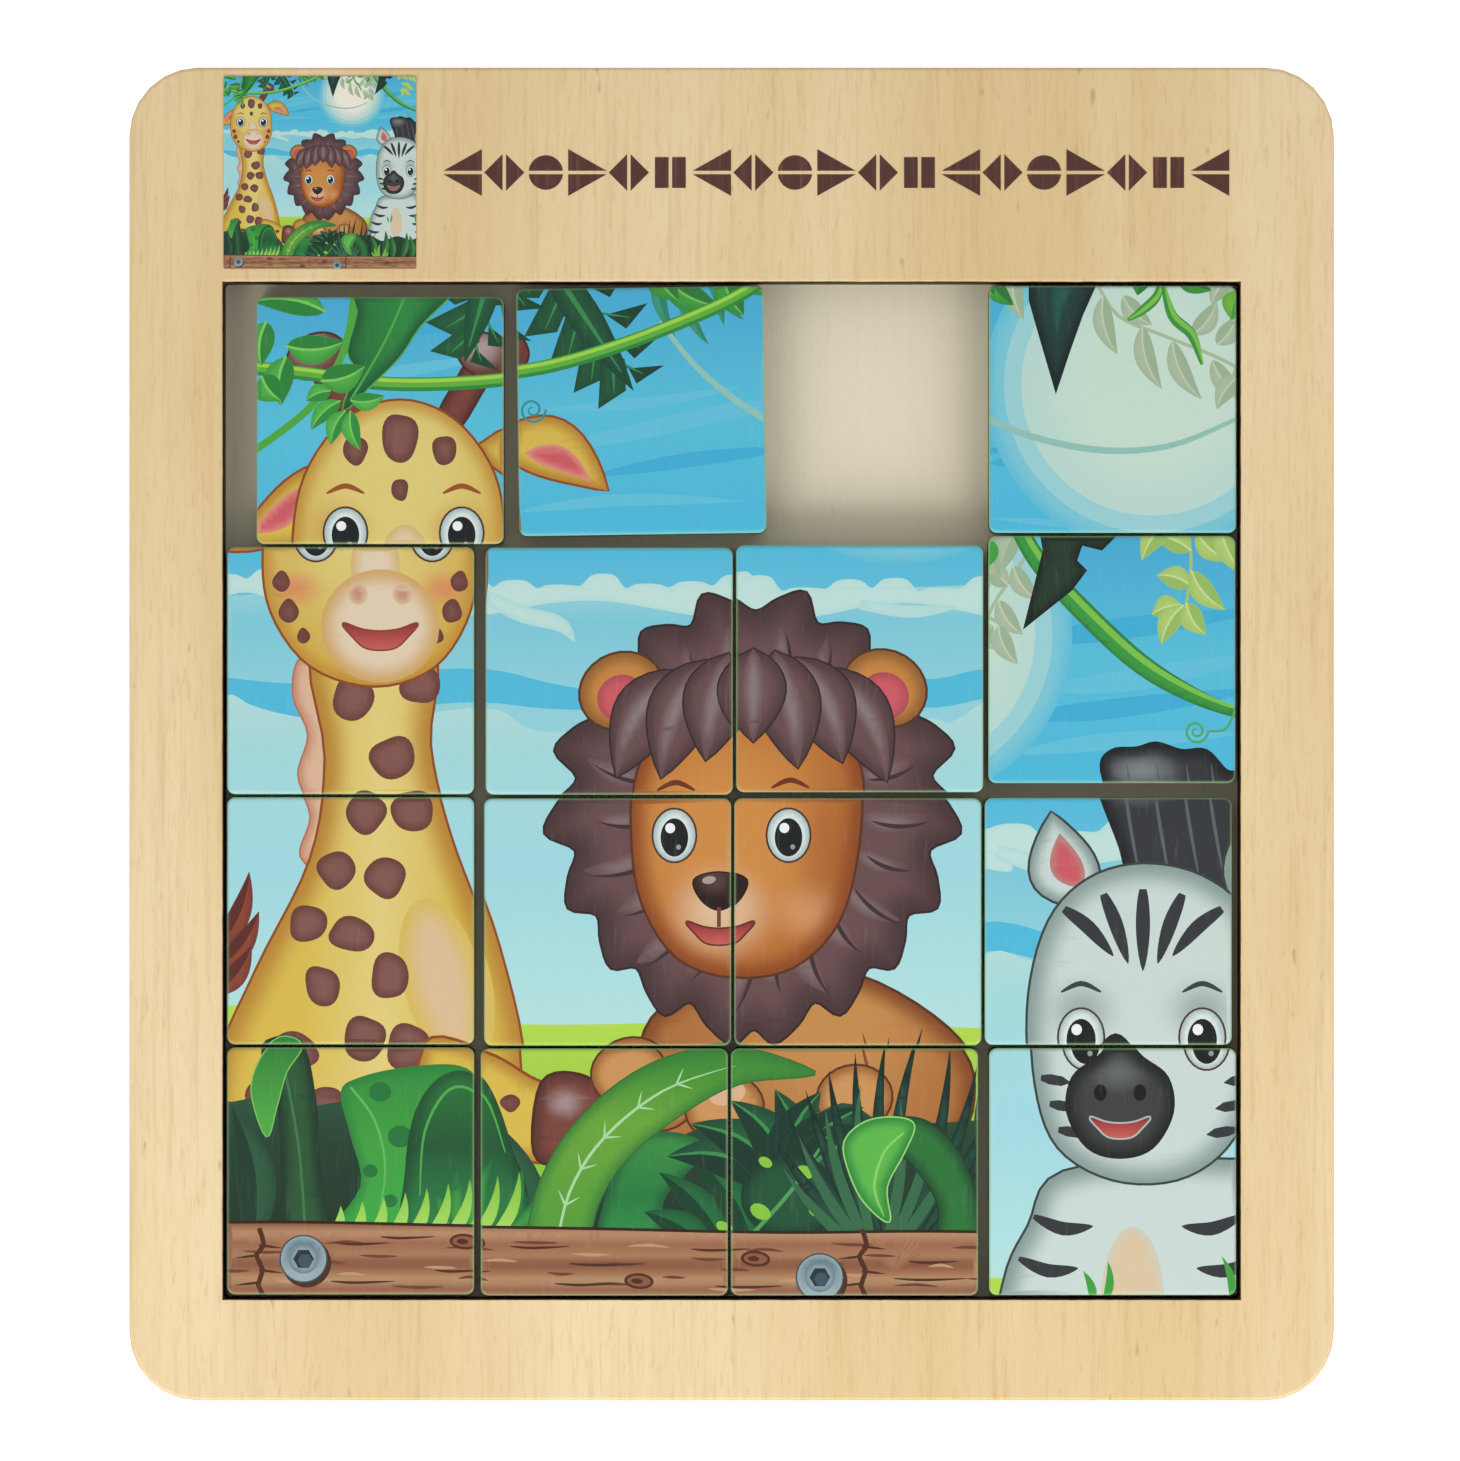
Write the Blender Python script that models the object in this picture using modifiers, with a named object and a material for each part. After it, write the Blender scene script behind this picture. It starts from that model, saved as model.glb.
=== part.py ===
"""Sliding tile puzzle: a plywood tray with fifteen loose picture tiles and one empty place.

Metres, +Z up. The tray lies flat on the ground plane, and the top of the picture points along +Y.
"""

import math

import bmesh
import bpy

# The tiles
TILE_SIZE = 0.0308
TILE_HEIGHT = 0.0052
TILE_CORNER_RADIUS = 0.001
TILE_EDGE_ROUND = 0.0004
PRINT_THICKNESS = 0.0003
PRINT_INSET = 0.0003
TURNED_TILE_ANGLE = math.radians(0.8)

# The tray, glued up from two sheets of plywood, and the strips of frame around its window
BASE_THICKNESS = 0.003
FRAME_THICKNESS = 0.0054
SIDE_RAIL = 0.01175
TOP_RAIL = 0.0268
BOTTOM_RAIL = 0.0127
BOARD_CORNER_RADIUS = 0.0086
BOARD_EDGE_ROUND = 0.0004
WINDOW_CORNER_RADIUS = 0.0005

# The small print of the whole picture, on the top rail
PREVIEW_THICKNESS = 0.0002
PREVIEW_TOP_MARGIN = 0.0011
PREVIEW_BOTTOM_MARGIN = 0.0017
PREVIEW_CORNER_RADIUS = 0.0002

# Clearances: the play is what the window has over four tiles side by side
TILE_PLAY = 0.0033
TILE_GAP = 0.0003
TILE_FLOOR_GAP = 0.0002
GLUE_LINE = 0.0002

# Straight steps in each rounded corner
CORNER_STEPS = 6

ROWS = 4
COLUMNS = 4
EMPTY_PLACE = (1, 3)
TURNED_TILE = (1, 2)

# How far along its free room each tile lies, from the window's left edge, row by row
ACROSS = {
    (1, 1): 0.115, (1, 2): 0.158, (1, 4): 0.997,
    (2, 1): 0.06, (2, 2): 0.67, (2, 3): 0.72, (2, 4): 0.89,
    (3, 1): 0.06, (3, 2): 0.56, (3, 3): 0.59, (3, 4): 0.64,
    (4, 1): 0.06, (4, 2): 0.33, (4, 3): 0.36, (4, 4): 0.94,
}

# How far down its free room each tile lies, from the window's top edge, column by column
DOWN = {
    (1, 1): 0.80, (2, 1): 0.83, (3, 1): 0.86, (4, 1): 0.89,
    (1, 2): 0.14, (2, 2): 0.86, (3, 2): 0.94, (4, 2): 0.97,
    (2, 3): 0.983, (3, 3): 0.996, (4, 3): 0.998,
    (1, 4): 0.03, (2, 4): 0.06, (3, 4): 0.89, (4, 4): 0.94,
}

WINDOW_SIZE = COLUMNS * TILE_SIZE + TILE_PLAY
BOARD_WIDTH = WINDOW_SIZE + 2 * SIDE_RAIL
BOARD_LENGTH = BOTTOM_RAIL + WINDOW_SIZE + TOP_RAIL
PREVIEW_SIZE = TOP_RAIL - PREVIEW_TOP_MARGIN - PREVIEW_BOTTOM_MARGIN

# Heights of the stack, from the ground up
FRAME_BOTTOM = BASE_THICKNESS + GLUE_LINE
FRAME_TOP = FRAME_BOTTOM + FRAME_THICKNESS
TILE_BOTTOM = BASE_THICKNESS + TILE_FLOOR_GAP
BLOCK_HEIGHT = TILE_HEIGHT - PRINT_THICKNESS - GLUE_LINE

WINDOW_CENTRE_Y = -BOARD_LENGTH / 2 + BOTTOM_RAIL + WINDOW_SIZE / 2
WINDOW_LEFT = -WINDOW_SIZE / 2
WINDOW_TOP = WINDOW_CENTRE_Y + WINDOW_SIZE / 2


def clear_scene():
    for item in list(bpy.data.objects):
        bpy.data.objects.remove(item, do_unlink=True)


def new_collection(name):
    collection = bpy.data.collections.new(name)
    bpy.context.scene.collection.children.link(collection)
    return collection


def material(name, colour, roughness, metallic=0.0):
    made = bpy.data.materials.new(name)
    made.use_nodes = True
    shader = made.node_tree.nodes["Principled BSDF"]
    shader.inputs["Base Color"].default_value = (*colour, 1.0)
    shader.inputs["Roughness"].default_value = roughness
    shader.inputs["Metallic"].default_value = metallic
    made.diffuse_color = (*colour, 1.0)
    return made


def add_rounded_outline(curve, width, length, radius, centre=(0.0, 0.0)):
    """Add one closed rectangle with rounded corners to a 2D curve."""
    points = []
    for quarter, (side_x, side_y) in enumerate(((1, 1), (-1, 1), (-1, -1), (1, -1))):
        arc_x = centre[0] + side_x * (width / 2 - radius)
        arc_y = centre[1] + side_y * (length / 2 - radius)
        for step in range(CORNER_STEPS + 1):
            angle = (quarter + step / CORNER_STEPS) * math.pi / 2
            points.append((arc_x + radius * math.cos(angle), arc_y + radius * math.sin(angle)))
    spline = curve.splines.new("POLY")
    spline.points.add(len(points) - 1)
    spline.use_cyclic_u = True
    for point, (x, y) in zip(spline.points, points):
        point.co = (x, y, 0.0, 1.0)


def sheet_object(name, outlines, thickness):
    """A flat sheet from rounded outlines; an outline inside another is a hole."""
    curve = bpy.data.curves.new(name, "CURVE")
    curve.dimensions = "2D"
    curve.fill_mode = "BOTH"
    curve.extrude = thickness / 2
    for outline in outlines:
        add_rounded_outline(curve, **outline)
    return bpy.data.objects.new(name, curve)


def to_mesh_object(item, collection):
    """Swap a curve object for a mesh object of the same shape and place, with its caps welded."""
    bpy.context.scene.collection.objects.link(item)
    bpy.context.view_layer.update()
    evaluated = item.evaluated_get(bpy.context.evaluated_depsgraph_get())
    mesh = bpy.data.meshes.new_from_object(evaluated)
    place = item.matrix_world.copy()
    name = item.name
    bpy.data.objects.remove(item)
    edited = bmesh.new()
    edited.from_mesh(mesh)
    bmesh.ops.remove_doubles(edited, verts=edited.verts, dist=0.00001)
    edited.to_mesh(mesh)
    edited.free()
    made = bpy.data.objects.new(name, mesh)
    made.matrix_world = place
    collection.objects.link(made)
    return made


def round_edges(item, width, segments=2):
    bevel = item.modifiers.new("edge round", "BEVEL")
    bevel.width = width
    bevel.segments = segments
    bevel.limit_method = "ANGLE"
    bevel.angle_limit = math.radians(50)
    bevel.use_clamp_overlap = False


def add_piece(collection, name, outlines, thickness, bottom, finish, place=(0.0, 0.0), edge=0.0):
    """One flat piece with its underside at a height."""
    made = to_mesh_object(sheet_object(name, outlines, thickness), collection)
    made.location = (place[0], place[1], bottom + thickness / 2)
    made.data.materials.append(finish)
    if edge:
        round_edges(made, edge)
    return made


def tiles_before(row, column):
    """How many tiles lie left of a place in its row, and above it in its column."""
    left = sum(1 for other in range(1, column) if (row, other) != EMPTY_PLACE)
    above = sum(1 for other in range(1, row) if (other, column) != EMPTY_PLACE)
    return left, above


def offset_from_edge(before, in_line, share):
    """The distance from the window's edge to a tile's near side.

    Every tile keeps the tile gap to the next one. The rest of the line is free room, which
    the shares divide, so the tiles of a line stay apart as long as their shares don't fall.
    """
    room = WINDOW_SIZE - in_line * TILE_SIZE - (in_line + 1) * TILE_GAP
    return before * TILE_SIZE + (before + 1) * TILE_GAP + share * room


def tile_centre(row, column):
    left, above = tiles_before(row, column)
    in_row = COLUMNS - (row == EMPTY_PLACE[0])
    in_column = ROWS - (column == EMPTY_PLACE[1])
    from_left = offset_from_edge(left, in_row, ACROSS[row, column])
    from_top = offset_from_edge(above, in_column, DOWN[row, column])
    return (
        WINDOW_LEFT + from_left + TILE_SIZE / 2,
        WINDOW_TOP - from_top - TILE_SIZE / 2,
    )


def build_tray(collection, plywood, printed):
    board = {"width": BOARD_WIDTH, "length": BOARD_LENGTH, "radius": BOARD_CORNER_RADIUS}
    window = {
        "width": WINDOW_SIZE,
        "length": WINDOW_SIZE,
        "radius": WINDOW_CORNER_RADIUS,
        "centre": (0.0, WINDOW_CENTRE_Y),
    }
    preview = {
        "width": PREVIEW_SIZE,
        "length": PREVIEW_SIZE,
        "radius": PREVIEW_CORNER_RADIUS,
    }
    preview_place = (
        WINDOW_LEFT + PREVIEW_SIZE / 2,
        BOARD_LENGTH / 2 - PREVIEW_TOP_MARGIN - PREVIEW_SIZE / 2,
    )
    add_piece(collection, "base_board", [board], BASE_THICKNESS, 0.0, plywood, edge=BOARD_EDGE_ROUND)
    add_piece(
        collection, "frame_board", [board, window], FRAME_THICKNESS, FRAME_BOTTOM, plywood,
        edge=BOARD_EDGE_ROUND,
    )
    add_piece(
        collection, "preview_print", [preview], PREVIEW_THICKNESS, FRAME_TOP + GLUE_LINE, printed,
        place=preview_place,
    )


def build_tile(collection, number, row, column, stained, printed):
    """A wooden block with a printed face glued on, under an empty at the tile's centre."""
    centre = tile_centre(row, column)
    block = {"width": TILE_SIZE, "length": TILE_SIZE, "radius": TILE_CORNER_RADIUS}
    face_size = TILE_SIZE - 2 * PRINT_INSET
    face = {"width": face_size, "length": face_size, "radius": TILE_CORNER_RADIUS}
    name = f"tile_{number:02d}"
    holder = bpy.data.objects.new(f"{name}_centre", None)
    holder.location = (*centre, TILE_BOTTOM)
    if (row, column) == TURNED_TILE:
        holder.rotation_euler.z = TURNED_TILE_ANGLE
    collection.objects.link(holder)
    pieces = [
        add_piece(
            collection, f"{name}_block", [block], BLOCK_HEIGHT, 0.0, stained,
            edge=TILE_EDGE_ROUND,
        ),
        add_piece(
            collection, f"{name}_print", [face], PRINT_THICKNESS, BLOCK_HEIGHT + GLUE_LINE,
            printed,
        ),
    ]
    for piece in pieces:
        piece.parent = holder


def main():
    clear_scene()
    collection = new_collection("sliding_tile_puzzle")
    plywood = material("plywood", (0.78, 0.62, 0.38), 0.6)
    stained = material("stained_block", (0.05, 0.08, 0.03), 0.6)
    printed = material("printed_picture", (0.32, 0.66, 0.74), 0.35)
    build_tray(collection, plywood, printed)
    places = [
        (row, column)
        for row in range(1, ROWS + 1)
        for column in range(1, COLUMNS + 1)
        if (row, column) != EMPTY_PLACE
    ]
    for number, (row, column) in enumerate(places, start=1):
        build_tile(collection, number, row, column, stained, printed)


main()
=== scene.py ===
"""Wooden sliding tile puzzle: the looks of a plywood tray with fifteen picture tiles.

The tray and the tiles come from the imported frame. This script gives the plywood its grain and its
scorched window, paints the tiles, draws the jungle picture that the tiles share, and sets the stage.
"""

import math

import bmesh
import bpy
import numpy as np
from bpy.props import FloatProperty, FloatVectorProperty, IntProperty, PointerProperty
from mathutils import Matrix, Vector
from mathutils.geometry import delaunay_2d_cdt


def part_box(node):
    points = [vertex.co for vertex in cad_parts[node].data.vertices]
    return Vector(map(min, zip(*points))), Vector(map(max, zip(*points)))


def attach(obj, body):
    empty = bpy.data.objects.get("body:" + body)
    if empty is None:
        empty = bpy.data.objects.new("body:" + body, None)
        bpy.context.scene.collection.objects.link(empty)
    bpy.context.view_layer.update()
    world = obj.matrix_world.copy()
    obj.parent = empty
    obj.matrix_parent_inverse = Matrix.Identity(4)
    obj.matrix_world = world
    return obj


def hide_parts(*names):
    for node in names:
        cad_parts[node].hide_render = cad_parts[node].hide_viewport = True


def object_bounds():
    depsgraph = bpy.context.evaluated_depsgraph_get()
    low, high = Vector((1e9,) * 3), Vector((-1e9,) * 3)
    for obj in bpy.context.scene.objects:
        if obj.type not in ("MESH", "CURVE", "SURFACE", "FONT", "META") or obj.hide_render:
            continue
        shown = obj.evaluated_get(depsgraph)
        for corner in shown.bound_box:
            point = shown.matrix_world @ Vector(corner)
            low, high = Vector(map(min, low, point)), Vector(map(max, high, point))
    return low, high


bl_info = {
    "name": "Sliding Tile Puzzle",
    "version": (1, 0, 0),
    "blender": (4, 5, 0),
    "location": "View3D > Sidebar > Puzzle",
    "description": "Finishes, picture and stage for a wooden sliding tile puzzle",
    "category": "Object",
}

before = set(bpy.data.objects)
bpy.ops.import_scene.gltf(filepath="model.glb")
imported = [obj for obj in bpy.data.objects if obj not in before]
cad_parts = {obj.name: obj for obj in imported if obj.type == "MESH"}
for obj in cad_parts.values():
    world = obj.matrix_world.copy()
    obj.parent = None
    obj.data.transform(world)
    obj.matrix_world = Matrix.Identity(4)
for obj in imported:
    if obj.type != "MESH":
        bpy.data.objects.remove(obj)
CAD_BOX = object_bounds()

MM = 0.001
TRAY = "tray"
BASE_PLIES = 3
FRAME_PLIES = 5

# The picture cell, as (row, column), that each tile carries in the order the tray is left in
TILE_CELLS = {
    "tile_01": (1, 1), "tile_02": (1, 2), "tile_03": (1, 3),
    "tile_04": (2, 1), "tile_05": (2, 2), "tile_06": (2, 3), "tile_07": (1, 4),
    "tile_08": (3, 1), "tile_09": (3, 2), "tile_10": (3, 3), "tile_11": (2, 4),
    "tile_12": (4, 1), "tile_13": (4, 2), "tile_14": (4, 3), "tile_15": (3, 4),
}
TURNED_TILE = "tile_02"
CELLS = 4

# Straight steps in each rounded corner
CORNER_STEPS = 6

# The preview print, which lies on the rail like a thin card
PREVIEW_TOP = 0.15 * MM
PREVIEW_CORNER = 0.2 * MM
PREVIEW_RIM = 0.06 * MM
PREVIEW_SKIRT = 0.1 * MM
# Painted highlight: a grey-green blended onto the preview card's rounded rim, as on the tiles
PREVIEW_RIM_HIGHLIGHT = (0.5, 0.6, 0.5)
PREVIEW_STEPS = 60

# The free rail between the ornaments and the preview print, and beyond them at the window's right
BEFORE_ORNAMENTS = 3.2 * MM
AFTER_ORNAMENTS = 1.1 * MM

FLOOR_SIZE = 4.0
FLOOR_DROP = 0.0002
LAMP_SIZE = 0.36
LAMP_PLACES = {"left_light": (-0.34, -0.45, 0.36), "right_light": (0.34, -0.45, 0.36)}
CAMERA_SHIFT = (-0.2 * MM, 0.45 * MM)


def tint(code):
    """A colour code's screen red, green and blue, in the linear values that shaders take."""
    if not isinstance(code, str):
        return tuple(code)
    channels = [int(code[place:place + 2], 16) / 255 for place in (1, 3, 5)]
    return tuple(c / 12.92 if c <= 0.04045 else ((c + 0.055) / 1.055) ** 2.4 for c in channels)


def colour_property(name, description, code):
    """A colour setting, from a colour code."""
    return FloatVectorProperty(
        name=name, description=description, subtype="COLOR", size=3, min=0.0, max=1.0,
        default=tint(code),
    )


def length_property(name, description, millimetres):
    """A length setting, from millimetres."""
    return FloatProperty(
        name=name, description=description, unit="LENGTH", min=0.0, precision=5,
        default=millimetres * MM,
    )


# ---------------------------------------------------------------- settings


class TrayFinish(bpy.types.PropertyGroup):
    """Bare plywood boards and the laser-cut window."""

    light_wood: colour_property("Light wood", "Pale early wood", "#F0D9AE")
    warm_wood: colour_property("Warm wood", "Warmer streaks", "#E4C792")
    grain_wood: colour_property("Grain lines", "Fine darker lines", "#C9A26C")
    floor_wood: colour_property("Tray floor", "Greyer wood of the base board's face", "#E8E6D0")
    end_wood: colour_property("End grain", "End grain between its pores", "#C09A66")
    cross_ply: colour_property("Cross ply", "Pores in the end grain of every second ply", "#A47D4E")
    glue_line: colour_property("Glue line", "Glue between two plies", "#80603A")
    scorch: colour_property("Scorch", "Laser-cut walls of the window", "#22150D")
    burnt_brown: colour_property("Burnt brown", "Paler streaks in the scorch", "#452F1E")
    scorch_reach: length_property("Scorch reach", "Browning on the top face beside the cut", 0.14)
    grain_pitch: length_property("Grain pitch", "Spacing of the fine grain", 0.42)


class TileFinish(bpy.types.PropertyGroup):
    """Painted blocks under a glossy printed film."""

    paint: colour_property("Edge paint", "Dark green paint on the sides", "#2A3A1E")
    bare_wood: colour_property("Bare wood", "Unpainted underside", "#C9A877")
    rim: length_property("Rim", "Radius of the rounded top edge", 0.42)
    skirt: length_property("Skirt", "How far the film runs down the side", 0.1)
    foot: length_property("Foot", "Radius of the bottom edge", 0.25)
    corner: length_property("Corner", "Radius of the upright corners", 1.0)
    # Painted highlight: a pale green blended onto each tile's rounded top edge, standing in for light
    # caught on the rim
    rim_highlight: colour_property("Rim highlight", "Painted highlight: pale green along the rounded top edge", "#A8D69A")
    shading_pitch: length_property("Shading pitch", "Spacing of the picture's shading points", 0.7)


class PictureColours(bpy.types.PropertyGroup):
    """The inks of the jungle picture."""

    sky_high: colour_property("High sky", "Sky along the top", "#46ACD6")
    sky_low: colour_property("Low sky", "Sky above the meadow", "#B4E2E0")
    cloud: colour_property("Cloud", "Pale cloud banks", "#C2E3DC")
    sun: colour_property("Sun", "Low pale sun", "#C9E2D2")
    small_sun: colour_property("Small sun", "Sun of the preview print", "#F4EEDD")
    meadow: colour_property("Meadow", "Bright strip of grass", "#B4DC4E")
    leaf_light: colour_property("Light leaf", "Young leaves and blades", "#78B93C")
    leaf: colour_property("Leaf", "Leaves in the light", "#3FA03E")
    thicket: colour_property("Thicket", "Dark undergrowth", "#213F2C")
    giraffe: colour_property("Giraffe", "Giraffe coat", "#D8BA4C")
    patch: colour_property("Patches", "Giraffe patches and horns", "#7A4238")
    lion: colour_property("Lion", "Lion coat", "#C98640")
    mane: colour_property("Mane", "Lion mane", "#6A4C4E")
    zebra: colour_property("Zebra", "Zebra coat", "#CBDAD4")
    stripe: colour_property("Stripes", "Zebra stripes and mane", "#33363A")
    blush: colour_property("Ear pink", "Inside of the ears", "#CE5A64")
    bolt: colour_property("Bolt", "Round bolt heads", "#7C929B")


class OrnamentFinish(bpy.types.PropertyGroup):
    """Brown ink ornaments on the top rail."""

    ink: colour_property("Ink", "Brown ink", "#4F2A22")
    count: IntProperty(name="Count", description="Ornaments in the row", default=19, min=1)
    height: length_property("Height", "Height of the row", 5.8)
    stencil_gap: length_property("Stencil gap", "Bridge across each ornament", 0.45)
    thickness: length_property("Thickness", "Thickness of the ink", 0.05)


class StageSetting(bpy.types.PropertyGroup):
    """Floor, lights and camera."""

    floor: colour_property("Floor", "Plain pale floor", "#FAFAFA")
    floor_glow: FloatProperty(name="Floor glow", description="Evens out the floor", default=0.75)
    sky_light: FloatProperty(name="Even light", description="Light from all round", default=0.58)
    lamp_power: FloatProperty(name="Lamp power", description="Each soft light, in watts", default=1.74)
    camera_height: length_property("Camera height", "Camera above the floor", 1100)
    view_width: length_property("View width", "Width in view on the tray's top", 181.8)


# ---------------------------------------------------------------- shader building


def node(tree, kind, inputs=None, **settings):
    """Add a shader node; an input given a socket is linked, and any other value is set."""
    made = tree.nodes.new(kind)
    for key, value in settings.items():
        setattr(made, key, value)
    for key, value in (inputs or {}).items():
        if isinstance(value, bpy.types.NodeSocket):
            tree.links.new(value, made.inputs[key])
        else:
            made.inputs[key].default_value = value
    return made


def new_material(name):
    """A new material with its node tree and its shader."""
    made = bpy.data.materials.new(name)
    made.use_nodes = True
    return made, made.node_tree, made.node_tree.nodes["Principled BSDF"]


def maths(tree, operation, first, second=0.0, clamp=False):
    """One sum on two values, each a socket or a number."""
    made = node(tree, "ShaderNodeMath", {0: first, 1: second}, operation=operation)
    made.use_clamp = clamp
    return made.outputs[0]


def mix(tree, factor, first, second):
    """Mix two colours, each a socket or a linear colour."""
    made = node(tree, "ShaderNodeMix", data_type="RGBA")
    for socket, value in ((0, factor), (6, first), (7, second)):
        if isinstance(value, bpy.types.NodeSocket):
            tree.links.new(value, made.inputs[socket])
        elif socket == 0:
            made.inputs[socket].default_value = value
        else:
            made.inputs[socket].default_value = (*value, 1.0)
    return made.outputs[2]


def stretched(tree, across, along, up):
    """Object coordinates scaled by cycles a metre along each axis."""
    place = node(tree, "ShaderNodeTexCoord").outputs["Object"]
    made = node(tree, "ShaderNodeMapping", {"Vector": place, "Scale": (across, along, up)})
    return made.outputs["Vector"]


def noise(tree, vector, detail=3.0, roughness=0.5, distortion=0.0):
    """Cloudy values from zero to one along the vector."""
    inputs = {
        "Vector": vector, "Scale": 1.0, "Detail": detail,
        "Roughness": roughness, "Distortion": distortion,
    }
    return node(tree, "ShaderNodeTexNoise", inputs).outputs["Fac"]


def band(tree, value, low, high):
    """Zero below low, one above high, smooth between."""
    inputs = {"Value": value, "From Min": low, "From Max": high}
    return node(tree, "ShaderNodeMapRange", inputs, interpolation_type="SMOOTHSTEP").outputs[0]


def set_surface(shader, roughness, specular=0.5):
    """How rough a surface is and how strongly it reflects."""
    shader.inputs["Roughness"].default_value = roughness
    shader.inputs["Specular IOR Level"].default_value = specular


def add_bump(tree, shader, height, distance, strength=1.0):
    """Let the light fall as if the surface rose by up to the distance where height is one."""
    inputs = {"Height": height, "Distance": distance, "Strength": strength}
    tree.links.new(node(tree, "ShaderNodeBump", inputs).outputs[0], shader.inputs["Normal"])


def tinged(tree, colour, value, low, high, strength, tone):
    """The colour with a tone over it, up to the strength, where the value rises from low to high."""
    mask = maths(tree, "MULTIPLY", band(tree, value, low, high), strength)
    return mix(tree, mask, colour, tone)


def wood_face(tree, finish):
    """Grain along Y: soft warm streaks, fine short pores and a few dark flecks.

    Gives the colour, and the pores' lines for the bump.
    """
    fine = 1 / finish.grain_pitch
    streaks = noise(tree, stretched(tree, 60, 5, 60), 3.0, 0.5, 0.4)
    lines = noise(tree, stretched(tree, fine, fine / 9, fine), 3.0, 0.7, 0.1)
    threads = noise(tree, stretched(tree, fine / 2, fine / 60, fine / 2), 3.0, 0.6, 0.1)
    flecks = noise(tree, stretched(tree, 760, 210, 760), 1.0, 0.4)
    cloudy = noise(tree, stretched(tree, 22, 16, 22), 3.0, 0.6)
    colour = mix(tree, band(tree, streaks, 0.3, 0.75), finish.light_wood, finish.warm_wood)
    for value, low, high, strength, tone in (
        (cloudy, 0.35, 0.7, 0.3, finish.warm_wood),
        (threads, 0.48, 0.75, 0.3, finish.grain_wood),
        (lines, 0.5, 0.74, 0.34, finish.grain_wood),
        (flecks, 0.73, 0.82, 0.4, darker(finish.grain_wood, 0.55)),
    ):
        colour = tinged(tree, colour, value, low, high, strength, tone)
    return colour, lines


def plywood_material(name, finish, bottom, ply, window):
    """Plywood with its plies on the edges; window gives the laser-cut hole, if the board has one."""
    made, tree, shader = new_material(name)
    face, lines = wood_face(tree, finish)
    normal = node(tree, "ShaderNodeNewGeometry").outputs["True Normal"]
    facing = maths(tree, "ABSOLUTE", node(tree, "ShaderNodeSeparateXYZ", {0: normal}).outputs[2])
    place = node(tree, "ShaderNodeTexCoord").outputs["Object"]
    axes = node(tree, "ShaderNodeSeparateXYZ", {0: place})
    layer = maths(tree, "DIVIDE", maths(tree, "SUBTRACT", axes.outputs[2], bottom), ply)
    wobble = maths(tree, "MULTIPLY", noise(tree, stretched(tree, 45, 45, 20), 2.0), 0.14)
    turn = maths(tree, "PINGPONG", maths(tree, "ADD", layer, wobble), 1.0)
    crossed = band(tree, turn, 0.48, 0.52)
    pores = noise(tree, stretched(tree, 3600, 3600, 1200), 2.0, 0.6)
    end_grain = mix(tree, band(tree, pores, 0.3, 0.8), finish.end_wood, finish.cross_ply)
    layers = noise(tree, stretched(tree, 90, 90, 5200), 2.0, 0.6)
    long_grain = mix(tree, band(tree, layers, 0.35, 0.8), finish.warm_wood, finish.grain_wood)
    edge = mix(tree, crossed, long_grain, end_grain)
    off_line = maths(tree, "ABSOLUTE", maths(tree, "SUBTRACT", turn, 0.5))
    glue = maths(tree, "SUBTRACT", 0.75, band(tree, off_line, 0.02, 0.07), clamp=True)
    edge = mix(tree, glue, edge, finish.glue_line)
    colour = mix(tree, band(tree, facing, 0.5, 0.85), edge, face)
    if window:
        (low_x, low_y), (high_x, high_y) = window
        centre_x, centre_y = (low_x + high_x) / 2, (low_y + high_y) / 2
        from_x = maths(tree, "ABSOLUTE", maths(tree, "SUBTRACT", axes.outputs[0], centre_x))
        from_y = maths(tree, "ABSOLUTE", maths(tree, "SUBTRACT", axes.outputs[1], centre_y))
        beyond = maths(
            tree, "MAXIMUM",
            maths(tree, "SUBTRACT", from_x, (high_x - low_x) / 2),
            maths(tree, "SUBTRACT", from_y, (high_y - low_y) / 2),
        )
        ragged = maths(tree, "MULTIPLY", noise(tree, stretched(tree, 420, 420, 420), 3.0), 0.16 * MM)
        reach = maths(tree, "SUBTRACT", beyond, ragged)
        near = maths(
            tree, "SUBTRACT", 1.0, band(tree, reach, 0.0, finish.scorch_reach), clamp=True
        )
        soot = noise(tree, stretched(tree, 300, 300, 900), 3.0, 0.6)
        burnt = mix(tree, band(tree, soot, 0.4, 0.8), finish.scorch, finish.burnt_brown)
        colour = mix(tree, near, colour, burnt)
    else:
        greyed = mix(tree, 0.72, colour, finish.floor_wood)
        top_face = band(tree, axes.outputs[2], bottom + 2.5 * ply, bottom + 2.9 * ply)
        colour = mix(tree, top_face, colour, greyed)
    tree.links.new(colour, shader.inputs["Base Color"])
    set_surface(shader, 0.62, 0.25)
    add_bump(tree, shader, lines, 0.06 * MM, 0.5)
    return made


def paint_material(finish):
    """Dark green paint, thin enough for the wood under it to show in places."""
    made, tree, shader = new_material("dark_green_edge_paint")
    patchy = noise(tree, stretched(tree, 260, 260, 700), 4.0, 0.6)
    worn = noise(tree, stretched(tree, 90, 90, 1200), 2.0, 0.5)
    colour = mix(tree, band(tree, patchy, 0.35, 0.7), finish.paint, tint("#47592C"))
    colour = tinged(tree, colour, worn, 0.66, 0.8, 0.5, finish.bare_wood)
    normal = node(tree, "ShaderNodeNewGeometry").outputs["True Normal"]
    down = node(tree, "ShaderNodeSeparateXYZ", {0: normal}).outputs[2]
    grain = noise(tree, stretched(tree, 1800, 90, 90), 3.0, 0.6)
    under = mix(tree, band(tree, grain, 0.4, 0.75), finish.bare_wood, tint("#A98452"))
    colour = mix(tree, band(tree, down, -0.7, -0.9), colour, under)
    tree.links.new(colour, shader.inputs["Base Color"])
    set_surface(shader, 0.5)
    add_bump(tree, shader, patchy, 0.08 * MM, 0.6)
    return made


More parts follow.
